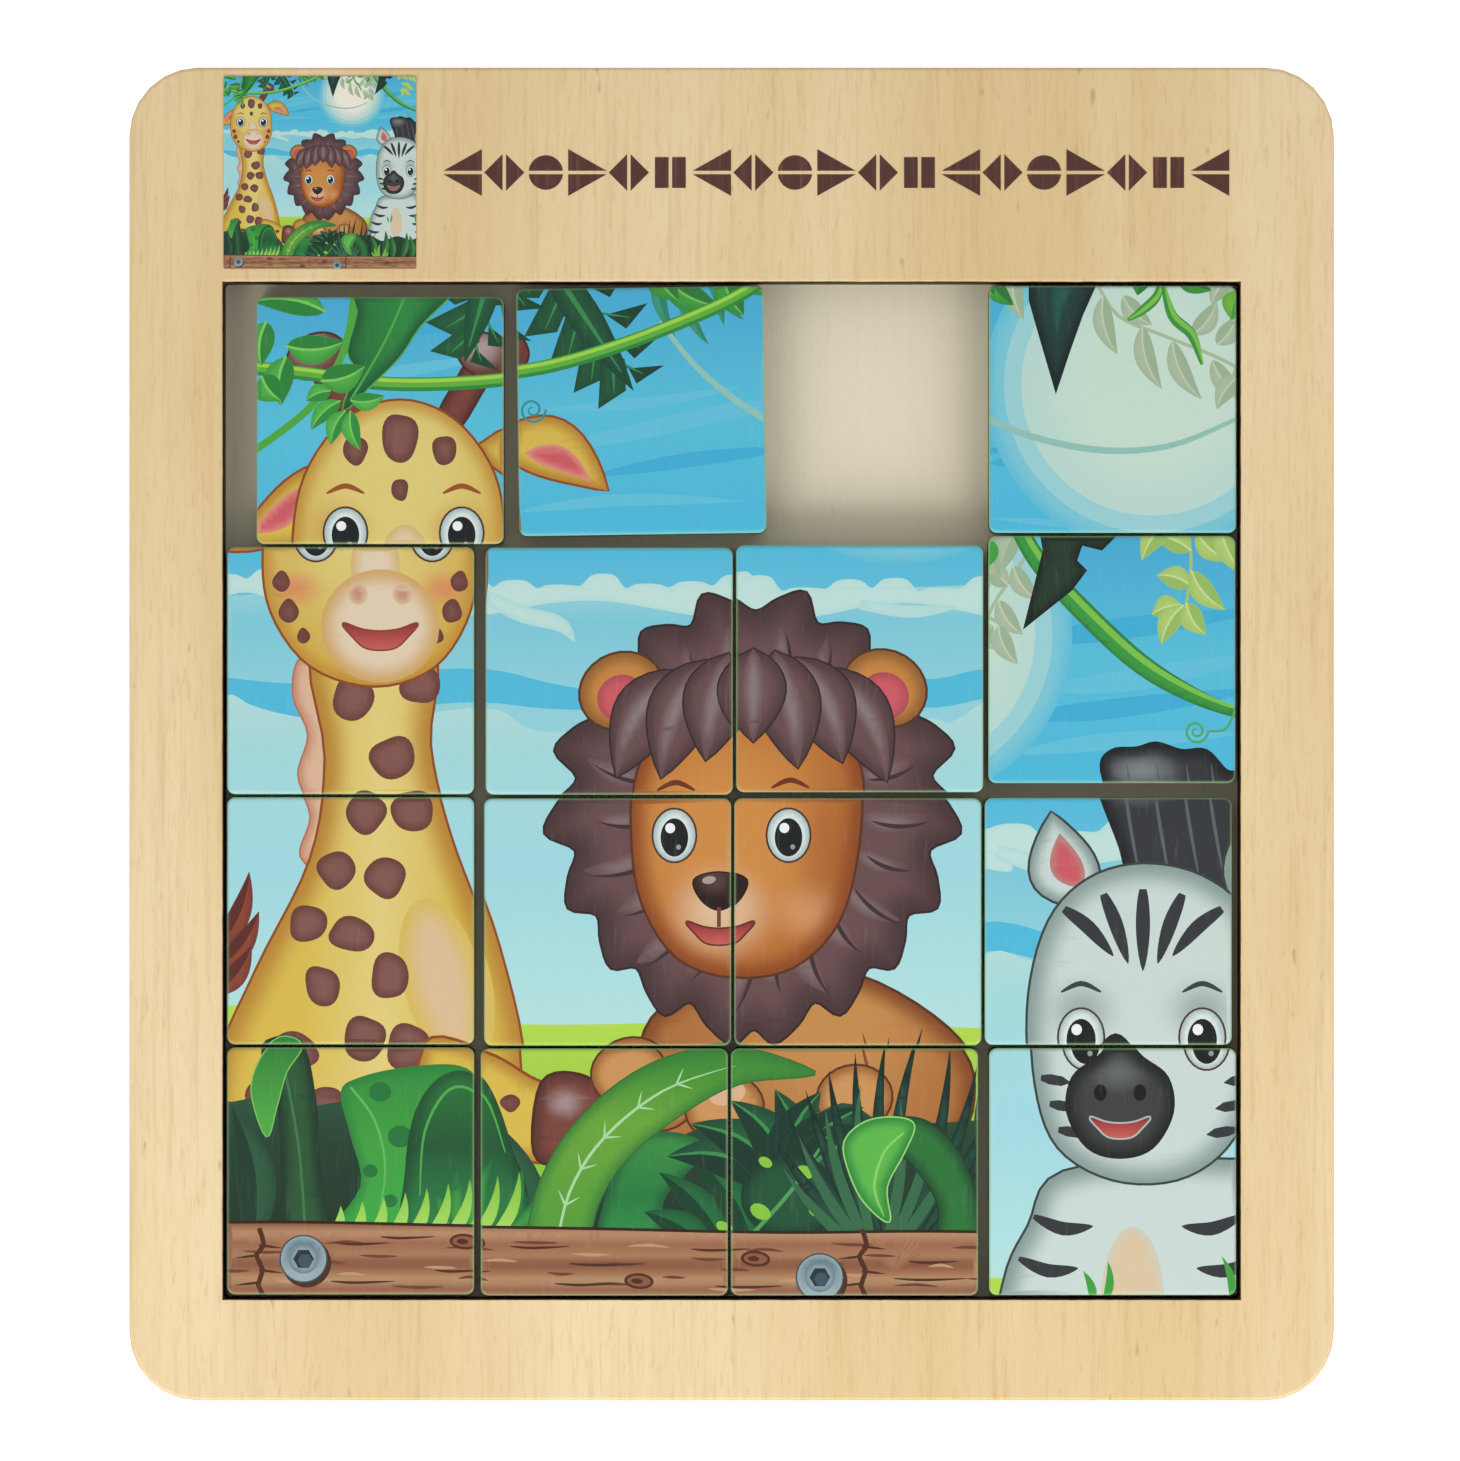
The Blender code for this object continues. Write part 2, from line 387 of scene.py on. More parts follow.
def print_material():
    """Ink on a satin film: the picture's colour with a fine printed grain and a clear coat."""
    made, tree, shader = new_material("printed_film")
    ink = node(tree, "ShaderNodeVertexColor", layer_name="ink").outputs["Color"]
    screen = noise(tree, stretched(tree, 5200, 5200, 5200), 1.0, 0.5)
    fibre = noise(tree, stretched(tree, 1500, 160, 1500), 3.0, 0.6)
    colour = tinged(tree, ink, screen, 0.45, 0.75, 0.07, (0.10, 0.10, 0.10))
    colour = tinged(tree, colour, fibre, 0.55, 0.8, 0.035, (0.9, 0.92, 0.88))
    tree.links.new(colour, shader.inputs["Base Color"])
    rough = maths(tree, "MULTIPLY_ADD", fibre, 0.12)
    rough.node.inputs[2].default_value = 0.3
    tree.links.new(rough, shader.inputs["Roughness"])
    shader.inputs["Specular IOR Level"].default_value = 0.22
    shader.inputs["Coat Weight"].default_value = 0.12
    shader.inputs["Coat Roughness"].default_value = 0.15
    add_bump(tree, shader, fibre, 0.03 * MM, 0.4)
    return made


def ink_material(finish):
    """Matt brown ink that has sunk into the wood a little."""
    made, tree, shader = new_material("brown_rail_ink")
    thin = noise(tree, stretched(tree, 1900, 90, 1900), 3.0, 0.6)
    colour = mix(tree, band(tree, thin, 0.5, 0.85), finish.ink, tint("#7A4A38"))
    tree.links.new(colour, shader.inputs["Base Color"])
    set_surface(shader, 0.7)
    return made


# ---------------------------------------------------------------- drawing
# Places in the picture are in tiles: across from its left edge, then down from its top edge.


def curve_through(points, closed=True, steps=5):
    """A smooth line through the points."""
    count = len(points)
    spans = count if closed else count - 1
    line = []
    for span in range(spans):
        if closed:
            four = [points[(span + shift) % count] for shift in (-1, 0, 1, 2)]
        else:
            four = [points[min(max(span + shift, 0), count - 1)] for shift in (-1, 0, 1, 2)]
        before, start, end, after = (np.array(point, float) for point in four)
        for step in range(steps):
            t = step / steps
            line.append(
                0.5 * (2 * start + (end - before) * t
                       + (2 * before - 5 * start + 4 * end - after) * t ** 2
                       + (3 * start - before - 3 * end + after) * t ** 3)
            )
    if not closed:
        line.append(np.array(points[-1], float))
    return np.array(line)


def laid(x, y, across, down, turn):
    """An outline about the origin, turned by some degrees and moved to its place."""
    lean = math.radians(turn)
    return np.column_stack([
        across + x * math.cos(lean) - y * math.sin(lean),
        down + x * math.sin(lean) + y * math.cos(lean),
    ])


def oval(across, down, half_width, half_height, turn=0.0, count=26):
    """An oval with its middle at (across, down)."""
    angles = np.arange(count) * (2 * math.pi / count)
    return laid(half_width * np.cos(angles), half_height * np.sin(angles), across, down, turn)


def spot(across, down, half_width, half_height, turn=0.0):
    """A patch of coat: an oval with three or four blunt corners."""
    count = 28
    angles = np.arange(count) * (2 * math.pi / count)
    swell = 1 + 0.035 * np.sin(4 * angles + 7 * across) + 0.05 * np.sin(3 * angles + 5 * down)
    form = oval(0, 0, 1, 1, 0, count) * swell[:, None] * (half_width, half_height)
    return laid(form[:, 0], form[:, 1], across, down, turn)


def curl(across, down, size):
    """The points of a tendril's spiral."""
    turns = np.linspace(0, 3.6 * math.pi, 22)
    return [
        (across + size * (1 - t / 13) * math.cos(t), down + size * (1 - t / 13) * math.sin(t))
        for t in turns
    ]


def stroke(points, width, start=1.0, end=1.0, steps=5):
    """A brush stroke along the points; start and end are the shares of its width at its ends."""
    line = curve_through(points, closed=False, steps=steps)
    run = np.gradient(line, axis=0)
    run /= np.maximum(np.linalg.norm(run, axis=1), 1e-9)[:, None]
    side = np.column_stack([-run[:, 1], run[:, 0]])
    t = np.linspace(0, 1, len(line))
    ends = np.where(t < 0.5, start, end)
    swell = ends + (1 - ends) * np.sin(math.pi * t)
    reach = side * (width / 2 * np.maximum(swell, 0.02))[:, None]
    return np.vstack([line + reach, (line - reach)[::-1]])


def leaf(base, tip, width, bend=0.0, halves=(1, 1), count=12):
    """A pointed leaf from base to tip, its spine bowed sideways by a share of its length."""
    base, tip = np.array(base, float), np.array(tip, float)
    run = tip - base
    side = np.array([-run[1], run[0]])
    t = np.linspace(0, 1, count)[:, None]
    spine = base + run * t + side * bend * 4 * t * (1 - t)
    half = np.sin(math.pi * t ** 0.8) ** 0.9 * width / 2 / max(np.linalg.norm(run), 1e-9)
    left = spine + side * half * halves[0]
    right = (spine - side * half * halves[1])[::-1]
    return np.vstack([left, right[1:-1]])


def grown(outline, reach):
    """The outline pushed outwards by reach."""
    ahead = np.roll(outline, -1, axis=0) - np.roll(outline, 1, axis=0)
    ahead /= np.maximum(np.linalg.norm(ahead, axis=1), 1e-9)[:, None]
    turned = np.roll(outline, -1, axis=0)
    area = np.sum(outline[:, 0] * turned[:, 1] - turned[:, 0] * outline[:, 1])
    way = 1 if area > 0 else -1
    return outline + way * reach * np.column_stack([ahead[:, 1], -ahead[:, 0]])


def distance_to(outline, places):
    """How far each place is from the outline's line."""
    far = np.full(len(places), 9.0)
    ends = np.roll(outline, -1, axis=0)
    for start, end in zip(outline, ends):
        run = end - start
        share = np.clip((places - start) @ run / max(run @ run, 1e-12), 0, 1)
        far = np.minimum(far, np.linalg.norm(places - start - share[:, None] * run, axis=1))
    return far


def smooth(share):
    """A share from zero to one, eased at both ends."""
    share = np.clip(share, 0, 1)
    return share * share * (3 - 2 * share)


def blend(first, second, share):
    """A mix of two colours, or of two sets of colours, with one share for each place."""
    return np.array(first) * (1 - share)[:, None] + np.array(second) * share[:, None]


def paint_of(colour):
    """A paint: it gives the colours at some places inside an outline. A plain colour stays the same."""
    if callable(colour):
        return colour
    return lambda places, outline: np.tile(np.array(tint(colour)), (len(places), 1))


def fade(stops, axis=1):
    """Colours that change down the picture, or across it with axis 0; stops are (place, colour)."""
    marks = [stop[0] for stop in stops]
    colours = np.array([tint(stop[1]) for stop in stops])
    return lambda places, outline: np.column_stack(
        [np.interp(places[:, axis], marks, colours[:, channel]) for channel in range(3)]
    )


def oval_distance(places, across, down, half_width, half_height):
    """How far each place is from an oval's middle; its edge is at one."""
    return np.hypot((places[:, 0] - across) / half_width, (places[:, 1] - down) / half_height)


def rounded(across, down, half_width, half_height, middle, rim, hold=0.35):
    """An airbrushed form: the middle colour, turning to the rim colour at the oval's edge."""
    def paint(places, _):
        far = oval_distance(places, across, down, half_width, half_height)
        return blend(tint(middle), tint(rim), smooth((far - hold) / (1 - hold)))
    return paint


def shaded(base, rim, reach=0.08, strength=1.0):
    """Airbrushed shade along a form's own outline; base is a colour or another paint."""
    def paint(places, outline):
        under = paint_of(base)(places, outline)
        return blend(under, tint(rim), strength * (1 - smooth(distance_to(outline, places) / reach)))
    return paint


def blushed(base, across, down, half_width, half_height, colour, strength=0.6):
    """A soft spot of another colour on a paint."""
    def paint(places, outline):
        far = oval_distance(places, across, down, half_width, half_height)
        return blend(paint_of(base)(places, outline), tint(colour), strength * (1 - smooth(far)))
    return paint


def darker(colour, share):
    """The colour with only a share of its light."""
    return tuple(channel * share for channel in tint(colour))


def paler(colour, share):
    """The colour moved a share of the way to white."""
    return tuple(channel + (1 - channel) * share for channel in tint(colour))


class Drawing:
    """Painted outlines, each over those before it."""

    def __init__(self):
        self.layers = []

    def add(self, outline, paint):
        """An outline, straight from point to point, and its paint."""
        self.layers.append((np.array(outline, float), paint_of(paint)))

    def form(self, points, paint, line=None, width=0.012):
        """A smooth form through the points, with a drawn line round it if it has one."""
        if line is None:
            self.add(curve_through(points), paint)
        else:
            self.inked(curve_through(points), paint, line, width)

    def brush(self, points, width, paint, ends=(1.0, 1.0), steps=5):
        """A brush stroke; ends are the shares of its width at its start and its end."""
        self.add(stroke(points, width, *ends, steps), paint)

    def inked(self, outline, paint, line, width=0.012):
        """A form with a drawn line round it."""
        self.add(grown(np.array(outline, float), width), line)
        self.add(outline, paint)

    def blade(self, base, tip, width, bend, light, dark, vein=None):
        """A leaf with a light half, a dark half and a vein."""
        self.add(leaf(base, tip, width, bend), shaded(light, dark, 0.3 * width, 0.55))
        self.add(leaf(base, tip, width * 0.96, bend, (0, 1)), dark)
        if vein:
            spine = leaf(base, tip, 0, bend, (0, 0), 5)[:5]
            self.add(stroke([tuple(place) for place in spine], 0.09 * width, 1.0, 0.1, 2), vein)


def puffs(start, end, down, size, depth):
    """A bank of small round clouds from start to end, flat underneath."""
    count = max(int((end - start) / size), 2)
    points = []
    for puff in range(count):
        rise = 0.75 + 0.5 * math.sin(2.3 * puff + start)
        for share, lift in ((0.0, 0.25), (0.22, 0.85), (0.5, 1.0), (0.78, 0.85)):
            points.append(
                (
                    start + (puff + share) * (end - start) / count,
                    down - size * (0.18 + 0.3 * rise * lift),
                )
            )
    points.append((end, down + depth * 0.3))
    for step in range(7):
        t = step / 6
        points.append((end - t * (end - start), down + depth * (0.7 + 0.5 * math.sin(7 * t + start))))
    return curve_through(points, steps=3)


def draw_sky(drawing, inks, sunlight):
    """Bands of sky with streaks, a low sun in haze, and banks of cloud."""
    high, low, cloud = inks.sky_high, inks.sky_low, inks.cloud
    wide = [(-0.1, -0.1), (4.1, -0.1), (4.1, 4.1), (-0.1, 4.1)]
    drawing.add(wide, fade([(0, high), (0.5, "#58C1DC"), (0.95, "#4CBBDD"), (2.8, low)]))
    streak, deep = "#63C3DE", "#3FB0D8"
    for places, width, tone in (
        ([(1.0, 0.66), (1.4, 0.6), (1.9, 0.5), (2.1, 0.49)], 0.07, streak),
        ([(1.1, 0.49), (1.5, 0.47), (1.9, 0.41)], 0.045, streak),
        ([(1.3, 0.76), (1.7, 0.7), (2.1, 0.66)], 0.06, deep),
        ([(1.0, 0.9), (1.4, 0.86), (1.9, 0.87)], 0.05, streak),
        ([(0.2, 0.36), (0.6, 0.3), (0.95, 0.24)], 0.05, streak),
        ([(0.55, 0.16), (0.8, 0.12), (1.0, 0.12)], 0.04, deep),
        ([(3.18, 0.42), (3.5, 0.38), (4.1, 0.3)], 0.09, deep),
        ([(3.2, 0.62), (3.6, 0.58), (4.1, 0.48)], 0.09, streak),
        ([(3.05, 0.74), (3.5, 0.7), (4.1, 0.62)], 0.08, deep),
        ([(3.1, 0.88), (3.5, 0.83), (4.0, 0.8)], 0.07, streak),
        ([(2.0, 0.72), (2.15, 0.7), (2.3, 0.66)], 0.06, deep),
        ([(2.0, 0.94), (2.5, 0.97), (3.0, 0.94)], 0.04, streak),
    ):
        drawing.brush(places, width, tone, (0.05, 0.05), 4)
    sun = (2.66, 0.4)
    drawing.add(oval(*sun, 0.68, 0.68, count=56), shaded("#7CC9DA", "#62C0DA", 0.06))
    drawing.add(oval(*sun, 0.6, 0.6, count=56), "#9CD3D8")
    drawing.add(
        oval(*sun, 0.53, 0.53, count=56), rounded(*sun, 0.53, 0.53, sunlight, "#BBDCD3", 0.5)
    )
    haze = [(-0.1, 1.2), (1.0, 1.16), (2.0, 1.2), (3.0, 1.16), (4.1, 1.2), (4.1, 3.2), (-0.1, 3.2)]
    drawing.add(haze, fade([(1.16, "#9AD6DD"), (1.3, "#7ECBDC"), (1.55, "#8ED1DD"), (2.8, low)]))
    for start, end, down, size in (
        (-0.1, 0.45, 1.17, 0.16), (0.85, 2.1, 1.2, 0.17), (2.0, 3.1, 1.22, 0.18),
        (3.0, 4.15, 1.19, 0.2),
    ):
        drawing.add(puffs(start, end, down, size, 0.07), shaded(cloud, "#AEDCDC", 0.02, 0.5))
    for places, width in (
        ([(1.0, 1.2), (1.15, 1.27), (1.3, 1.31), (1.36, 1.38)], 0.07),
        ([(3.05, 1.22), (3.2, 1.27), (3.34, 1.36)], 0.07),
        ([(2.5, 1.24), (2.7, 1.27), (2.9, 1.25)], 0.05),
    ):
        drawing.brush(places, width, shaded(cloud, "#A4D8DB", 0.03, 0.6), (0.8, 0.05), 4)
    for places, width in (
        ([(-0.1, 1.58), (0.3, 1.62), (0.7, 1.58), (1.0, 1.56), (1.25, 1.6), (1.55, 1.63)], 0.14),
        ([(2.5, 1.58), (2.8, 1.6), (3.05, 1.56), (3.4, 1.62), (4.1, 1.56)], 0.12),
    ):
        drawing.brush(places, width, "#50BCDC", (0.9, 0.4), 4)
    lower = [
        (-0.1, 1.74), (0.0, 1.6), (0.1, 1.64), (0.25, 1.68), (0.55, 1.72), (0.9, 1.66), (1.06, 1.66),
        (1.2, 1.74), (1.5, 1.74), (2.7, 1.7), (2.86, 1.72), (3.04, 1.62), (3.2, 1.66), (3.6, 1.7),
        (4.1, 1.6), (4.1, 3.2), (-0.1, 3.2),
    ]
    drawing.add(
        curve_through(lower),
        fade([(1.6, "#B4DDDB"), (1.8, "#A6DBDD"), (2.3, "#A2DAE2"), (2.9, low)]),
    )


def draw_meadow(drawing, inks):
    """The bright strip of grass behind the animals."""
    edge = [(-0.2, 2.94), (0.5, 2.9), (1.3, 2.915), (2.2, 2.9), (3.1, 2.93), (4.2, 2.9),
            (4.2, 4.1), (2.0, 4.15), (-0.2, 4.1)]
    drawing.add(
        curve_through(edge),
        fade([(2.9, inks.meadow), (3.1, "#A6D045"), (3.4, "#8CC63A")]),
    )


def draw_eye(drawing, across, down, wide, tall, brow):
    """A plain round eye with a short brow."""
    white = shaded("#E0EBE6", "#A9BDBC", 0.03)
    drawing.inked(oval(across, down, wide, tall), white, "#4A302A", 0.008)
    drawing.add(oval(across, down + 0.08 * tall, 0.66 * wide, 0.74 * tall), "#17191B")
    glint = oval(across - 0.2 * wide, down - 0.28 * tall, 0.24 * wide, 0.2 * tall, 0, 12)
    drawing.add(glint, "#F0F6F4")
    low_glint = oval(across + 0.2 * wide, down + 0.45 * tall, 0.12 * wide, 0.1 * tall, 0, 10)
    drawing.add(low_glint, "#8F9C9E")
    high = down - 1.9 * tall
    arch = [
        (across - 0.9 * wide, high + 0.3 * tall), (across, high),
        (across + 0.9 * wide, high + 0.3 * tall),
    ]
    drawing.brush(arch, 0.022, brow, (0.3, 0.3))


def draw_smile(drawing, across, down, wide, line):
    """An open smile: a shallow bowl, wide across its top."""
    top = [
        (across + share * wide, down + 0.22 * wide * (1 - share ** 2))
        for share in (-1, -0.5, 0, 0.5, 1)
    ]
    low = [
        (across + share * wide, down + 0.75 * wide * (1 - share ** 2))
        for share in (0.75, 0.35, -0.35, -0.75)
    ]
    throat = fade([(down, "#8A2E2A"), (down + 0.75 * wide, "#D0605A")])
    drawing.form(top + low, throat, line, 0.007)


def coat_spots(drawing, outline, paint, spacing, fill, random, skip=None):
    """Staggered rows of uneven patches wherever they fit inside a form."""
    low, high = outline.min(axis=0), outline.max(axis=0)
    rows = int((high[1] - low[1]) / spacing)
    for row in range(rows + 1):
        for step in range(int((high[0] - low[0]) / spacing) + 1):
            shift = 0.5 * spacing * (row % 2)
            place = low + spacing * np.array([step, row]) + (shift, 0) + random.uniform(
                -0.16, 0.16, 2,
            ) * spacing
            size = fill * spacing * random.uniform(0.8, 1.15, 2)
            lean = random.uniform(-35, 35)
            room = distance_to(outline, place[None])[0]
            if not inside(outline, place[None])[0] or room < 0.6 * max(size):
                continue
            if skip is not None and inside(skip, place[None])[0]:
                continue
            drawing.add(spot(*place, *size, lean), paint)


def draw_giraffe(drawing, inks):
    """A giraffe that sits at the left, from its hoof and body up to its head."""
    coat, patch, line = inks.giraffe, inks.patch, "#8E4A1C"
    shade, glow = "#B98532", "#E3CF7E"
    body = curve_through([
        (0.36, 1.4), (0.4, 1.85), (0.34, 2.25), (0.12, 2.7), (-0.04, 3.1), (0.0, 3.5), (0.5, 3.6),
        (1.05, 3.5), (1.16, 3.1), (1.06, 2.6), (0.9, 2.15), (0.82, 1.8), (0.82, 1.4),
    ])
    hair = curve_through([
        (0.3, 1.45), (0.27, 1.6), (0.33, 1.76), (0.29, 1.92), (0.34, 2.08), (0.3, 2.24), (0.44, 2.3),
        (0.48, 1.9), (0.45, 1.45),
    ])
    drawing.inked(hair, shaded("#DDB698", "#C98E70", 0.04), "#B0705A", 0.007)
    side = fade([(0.0, coat), (0.3, coat), (0.62, glow), (0.95, coat)], axis=0)
    drawing.inked(body, shaded(side, shade, 0.13), line, 0.01)
    belly = oval(0.87, 2.74, 0.16, 0.34, -14)
    drawing.add(belly, shaded("#DDBF98", coat, 0.12, 0.85))
    patches = shaded(paler(patch, 0.04), darker(patch, 0.62), 0.045, 0.8)
    random = np.random.default_rng(7)
    coat_spots(drawing, body, patches, 0.235, 0.36, random, belly)
    leg = [(0.8, 3.0), (1.02, 3.02), (1.2, 3.12), (1.34, 3.2), (1.34, 3.44), (1.1, 3.44), (0.8, 3.4)]
    drawing.form(leg, shaded(coat, shade, 0.07), line)
    drawing.add(spot(1.12, 3.22, 0.04, 0.035), patches)
    hoof = curve_through(
        [(1.25, 3.14), (1.4, 3.11), (1.51, 3.2), (1.48, 3.36), (1.34, 3.46), (1.22, 3.42)]
    )
    sheen = blushed(patch, 1.34, 3.22, 0.1, 0.08, paler(patch, 0.3), 0.8)
    drawing.inked(hoof, shaded(sheen, darker(patch, 0.55), 0.06), "#4A2420")
    for base, tip, bend in (((0.3, 0.68), (-0.1, 1.0), -0.12), ((0.9, 0.6), (1.36, 0.82), -0.12)):
        drawing.inked(leaf(base, tip, 0.24, bend), shaded(coat, shade, 0.06), line, 0.01)
        base, tip = np.array(base), np.array(tip)
        inner = leaf(base + 0.28 * (tip - base), base + 0.86 * (tip - base), 0.1, bend)
        drawing.add(inner, shaded(inks.blush, "#E0907C", 0.03))
    for foot, knob, lean in (((0.42, 0.52), (0.24, 0.24), -24), ((0.78, 0.5), (0.93, 0.24), 24)):
        horn = stroke([foot, knob], 0.11)
        drawing.inked(horn, shaded(patch, darker(patch, 0.5), 0.04), "#4A2420", 0.009)
        dome = rounded(
            knob[0] - 0.02, knob[1] - 0.03, 0.12, 0.1, paler(patch, 0.3), darker(patch, 0.75), 0.05,
        )
        drawing.inked(oval(*knob, 0.12, 0.085, lean), dome, "#4A2420", 0.009)
    head = curve_through([
        (0.2, 0.72), (0.36, 0.5), (0.58, 0.42), (0.8, 0.5), (0.96, 0.72), (1.0, 1.0), (0.98, 1.26),
        (0.84, 1.48), (0.6, 1.56), (0.34, 1.48), (0.18, 1.26), (0.15, 1.0),
    ])
    top = rounded(0.57, 0.8, 0.62, 0.9, "#E0CE7A", "#CFA83C", 0.2)
    for across in (0.34, 0.82):
        top = blushed(top, across, 0.94, 0.17, 0.15, "#C98A3C", 0.8)
    for across in (0.28, 0.88):
        top = blushed(top, across, 1.17, 0.14, 0.1, "#DC7A5E", 0.75)
    drawing.inked(head, shaded(top, "#C08A34", 0.07, 0.8), line, 0.01)
    for across, down, wide, tall in (
        (0.58, 0.57, 0.075, 0.1), (0.4, 0.62, 0.05, 0.06), (0.76, 0.62, 0.05, 0.06),
        (0.58, 0.78, 0.035, 0.045),
    ):
        drawing.add(spot(across, down, wide, tall), patches)
    for side in (-1, 1):
        for across, down, size in ((0.36, 1.14, 0.035), (0.33, 1.26, 0.04), (0.27, 1.36, 0.026)):
            drawing.add(spot(0.58 + side * across, down, size, 1.2 * size), patches)
    pale = shaded("#E3D0B4", "#D2A868", 0.09)
    drawing.add(oval(0.6, 1.08, 0.1, 0.16), shaded("#E3D0B4", "#D6B878", 0.06))
    drawing.add(oval(0.62, 1.32, 0.24, 0.23), pale)
    for across in (0.53, 0.71):
        drawing.add(oval(across, 1.19, 0.04, 0.045, 0, 16), shaded("#C58C74", "#DDBE9C", 0.03))
    draw_smile(drawing, 0.62, 1.31, 0.15, "#8A3B2C")
    for across in (0.36, 0.83):
        draw_eye(drawing, across, 0.955, 0.085, 0.1, "#9A5222")


def mane_outline(centre, half, locks, lift):
    """A ring of pointed locks whose tips lean downwards on both sides."""
    points = []
    for lock in range(locks):
        for share, height in ((0.0, 0.0), (0.35, 0.55), (0.72, 1.0)):
            turn = (lock + share) / locks
            angle = math.pi * turn
            reach = 1 + lift * height * (1 + 0.25 * math.sin(5 * lock))
            points.append((reach * math.sin(angle), -reach * math.cos(angle)))
    mirrored = [(-x, y) for x, y in reversed(points[1:])]
    ring = points + [(0.0, 1 + 0.6 * lift)] + mirrored
    return curve_through([(centre[0] + half[0] * x, centre[1] + half[1] * y) for x, y in ring], steps=4)


def draw_lion(drawing, inks):
    """A lion that leans on its paws, with a ring of mane locks and a fringe."""
    coat, mane, line = inks.lion, inks.mane, "#5A3018"
    mane_line = darker(mane, 0.22)
    body = curve_through([
        (1.72, 2.85), (1.62, 3.1), (1.64, 3.4), (2.2, 3.5), (2.85, 3.4), (2.98, 3.15), (2.86, 2.93),
        (2.5, 2.72), (2.1, 2.7),
    ])
    back = rounded(2.4, 2.9, 0.6, 0.6, "#C48B4C", "#AE7038", 0.2)
    drawing.inked(body, shaded(back, "#84491F", 0.1), line)
    drawing.brush([(2.52, 2.95), (2.56, 3.15), (2.5, 3.3)], 0.016, "#84491F", (0.2, 0.2))
    for across, down in ((1.6, 3.1), (1.72, 3.2), (1.98, 3.24), (2.5, 3.2)):
        paw = oval(across, down, 0.15, 0.13, -8)
        drawing.inked(paw, shaded("#CB9458", "#9E6430", 0.05), line, 0.009)
    drawing.add(oval(1.99, 3.18, 0.07, 0.05, -15), "#DDB08C")
    middle = (2.08, 2.07)
    ring = mane_outline(middle, (0.72, 0.8), 9, 0.13)
    drawing.inked(ring, shaded(mane, darker(mane, 0.4), 0.16, 0.9), mane_line, 0.01)
    for lock in range(22):
        angle = 2 * math.pi * (lock + 0.5) / 22
        out = np.array([math.sin(angle), -math.cos(angle)])
        bow = 0.1 if out[0] > 0 else -0.1
        far = 0.94 + 0.05 * math.sin(3 * lock)
        base = middle + out * (0.42, 0.5)
        tip = middle + out * (0.72, 0.8) * far
        width = 0.1 + 0.02 * math.sin(5 * lock)
        drawing.add(leaf(base, tip, width, bow), shaded(paler(mane, 0.1), mane, 0.5 * width))
        drawing.add(leaf(base + (0.05, 0.02), tip + (0.02, 0.02), 0.018, bow), darker(mane, 0.36))
    for across, tilt in ((1.55, -25), (2.6, 25)):
        ear = oval(across, 1.58, 0.17, 0.15, tilt)
        drawing.inked(ear, shaded(coat, darker(coat, 0.5), 0.07), line, 0.01)
        drawing.add(
            oval(across, 1.61, 0.1, 0.095, tilt), shaded(inks.blush, darker(inks.blush, 0.7), 0.04),
        )
    face = curve_through([
        (1.62, 1.9), (1.76, 1.68), (2.06, 1.6), (2.36, 1.68), (2.5, 1.9), (2.5, 2.2), (2.42, 2.5),
        (2.24, 2.68), (2.0, 2.72), (1.78, 2.64), (1.64, 2.42), (1.6, 2.15),
    ])
    skin = rounded(1.98, 2.15, 0.62, 0.62, "#D08C44", "#B5692C", 0.25)
    skin = blushed(skin, 2.3, 2.46, 0.2, 0.16, "#E0A878", 0.6)
    skin = blushed(skin, 2.38, 2.2, 0.2, 0.4, "#9C4E1E", 0.5)
    skin = blushed(skin, 1.95, 2.46, 0.26, 0.24, "#E2C09C", 1.0)
    drawing.inked(face, shaded(skin, "#8A4318", 0.1, 0.9), line, 0.01)
    fringe = shaded(mane, darker(mane, 0.45), 0.06, 0.8)
    for number in (0, 6, 1, 5, 2, 4, 3):
        share = number / 3 - 1
        root = (2.07 + 0.26 * share, 1.42 + 0.08 * share ** 2)
        tip = (2.07 + 0.54 * share, 1.84 - 0.05 * math.cos(4 * number) + 0.14 * share ** 2)
        drawing.inked(leaf(root, tip, 0.26, -0.08 * share), fringe, mane_line, 0.007)
        drawing.add(leaf(root, tip, 0.1, -0.14 * share), shaded(paler(mane, 0.13), mane, 0.05))
    for across in (1.77, 2.22):
        draw_eye(drawing, across, 2.15, 0.085, 0.105, "#6B3318")
    nose = curve_through(
        [(1.85, 2.33), (1.95, 2.3), (2.05, 2.33), (2.02, 2.41), (1.95, 2.45), (1.88, 2.41)]
    )
    dark = rounded(1.93, 2.33, 0.1, 0.08, "#5B4038", "#241614", 0.1)
    drawing.inked(nose, dark, "#24140F", 0.006)
    drawing.add(oval(1.91, 2.33, 0.028, 0.016, -10, 12), "#A89C96")
    drawing.brush([(1.95, 2.44), (1.95, 2.52)], 0.016, "#7A3C28")
    draw_smile(drawing, 1.95, 2.5, 0.13, "#5A2A20")


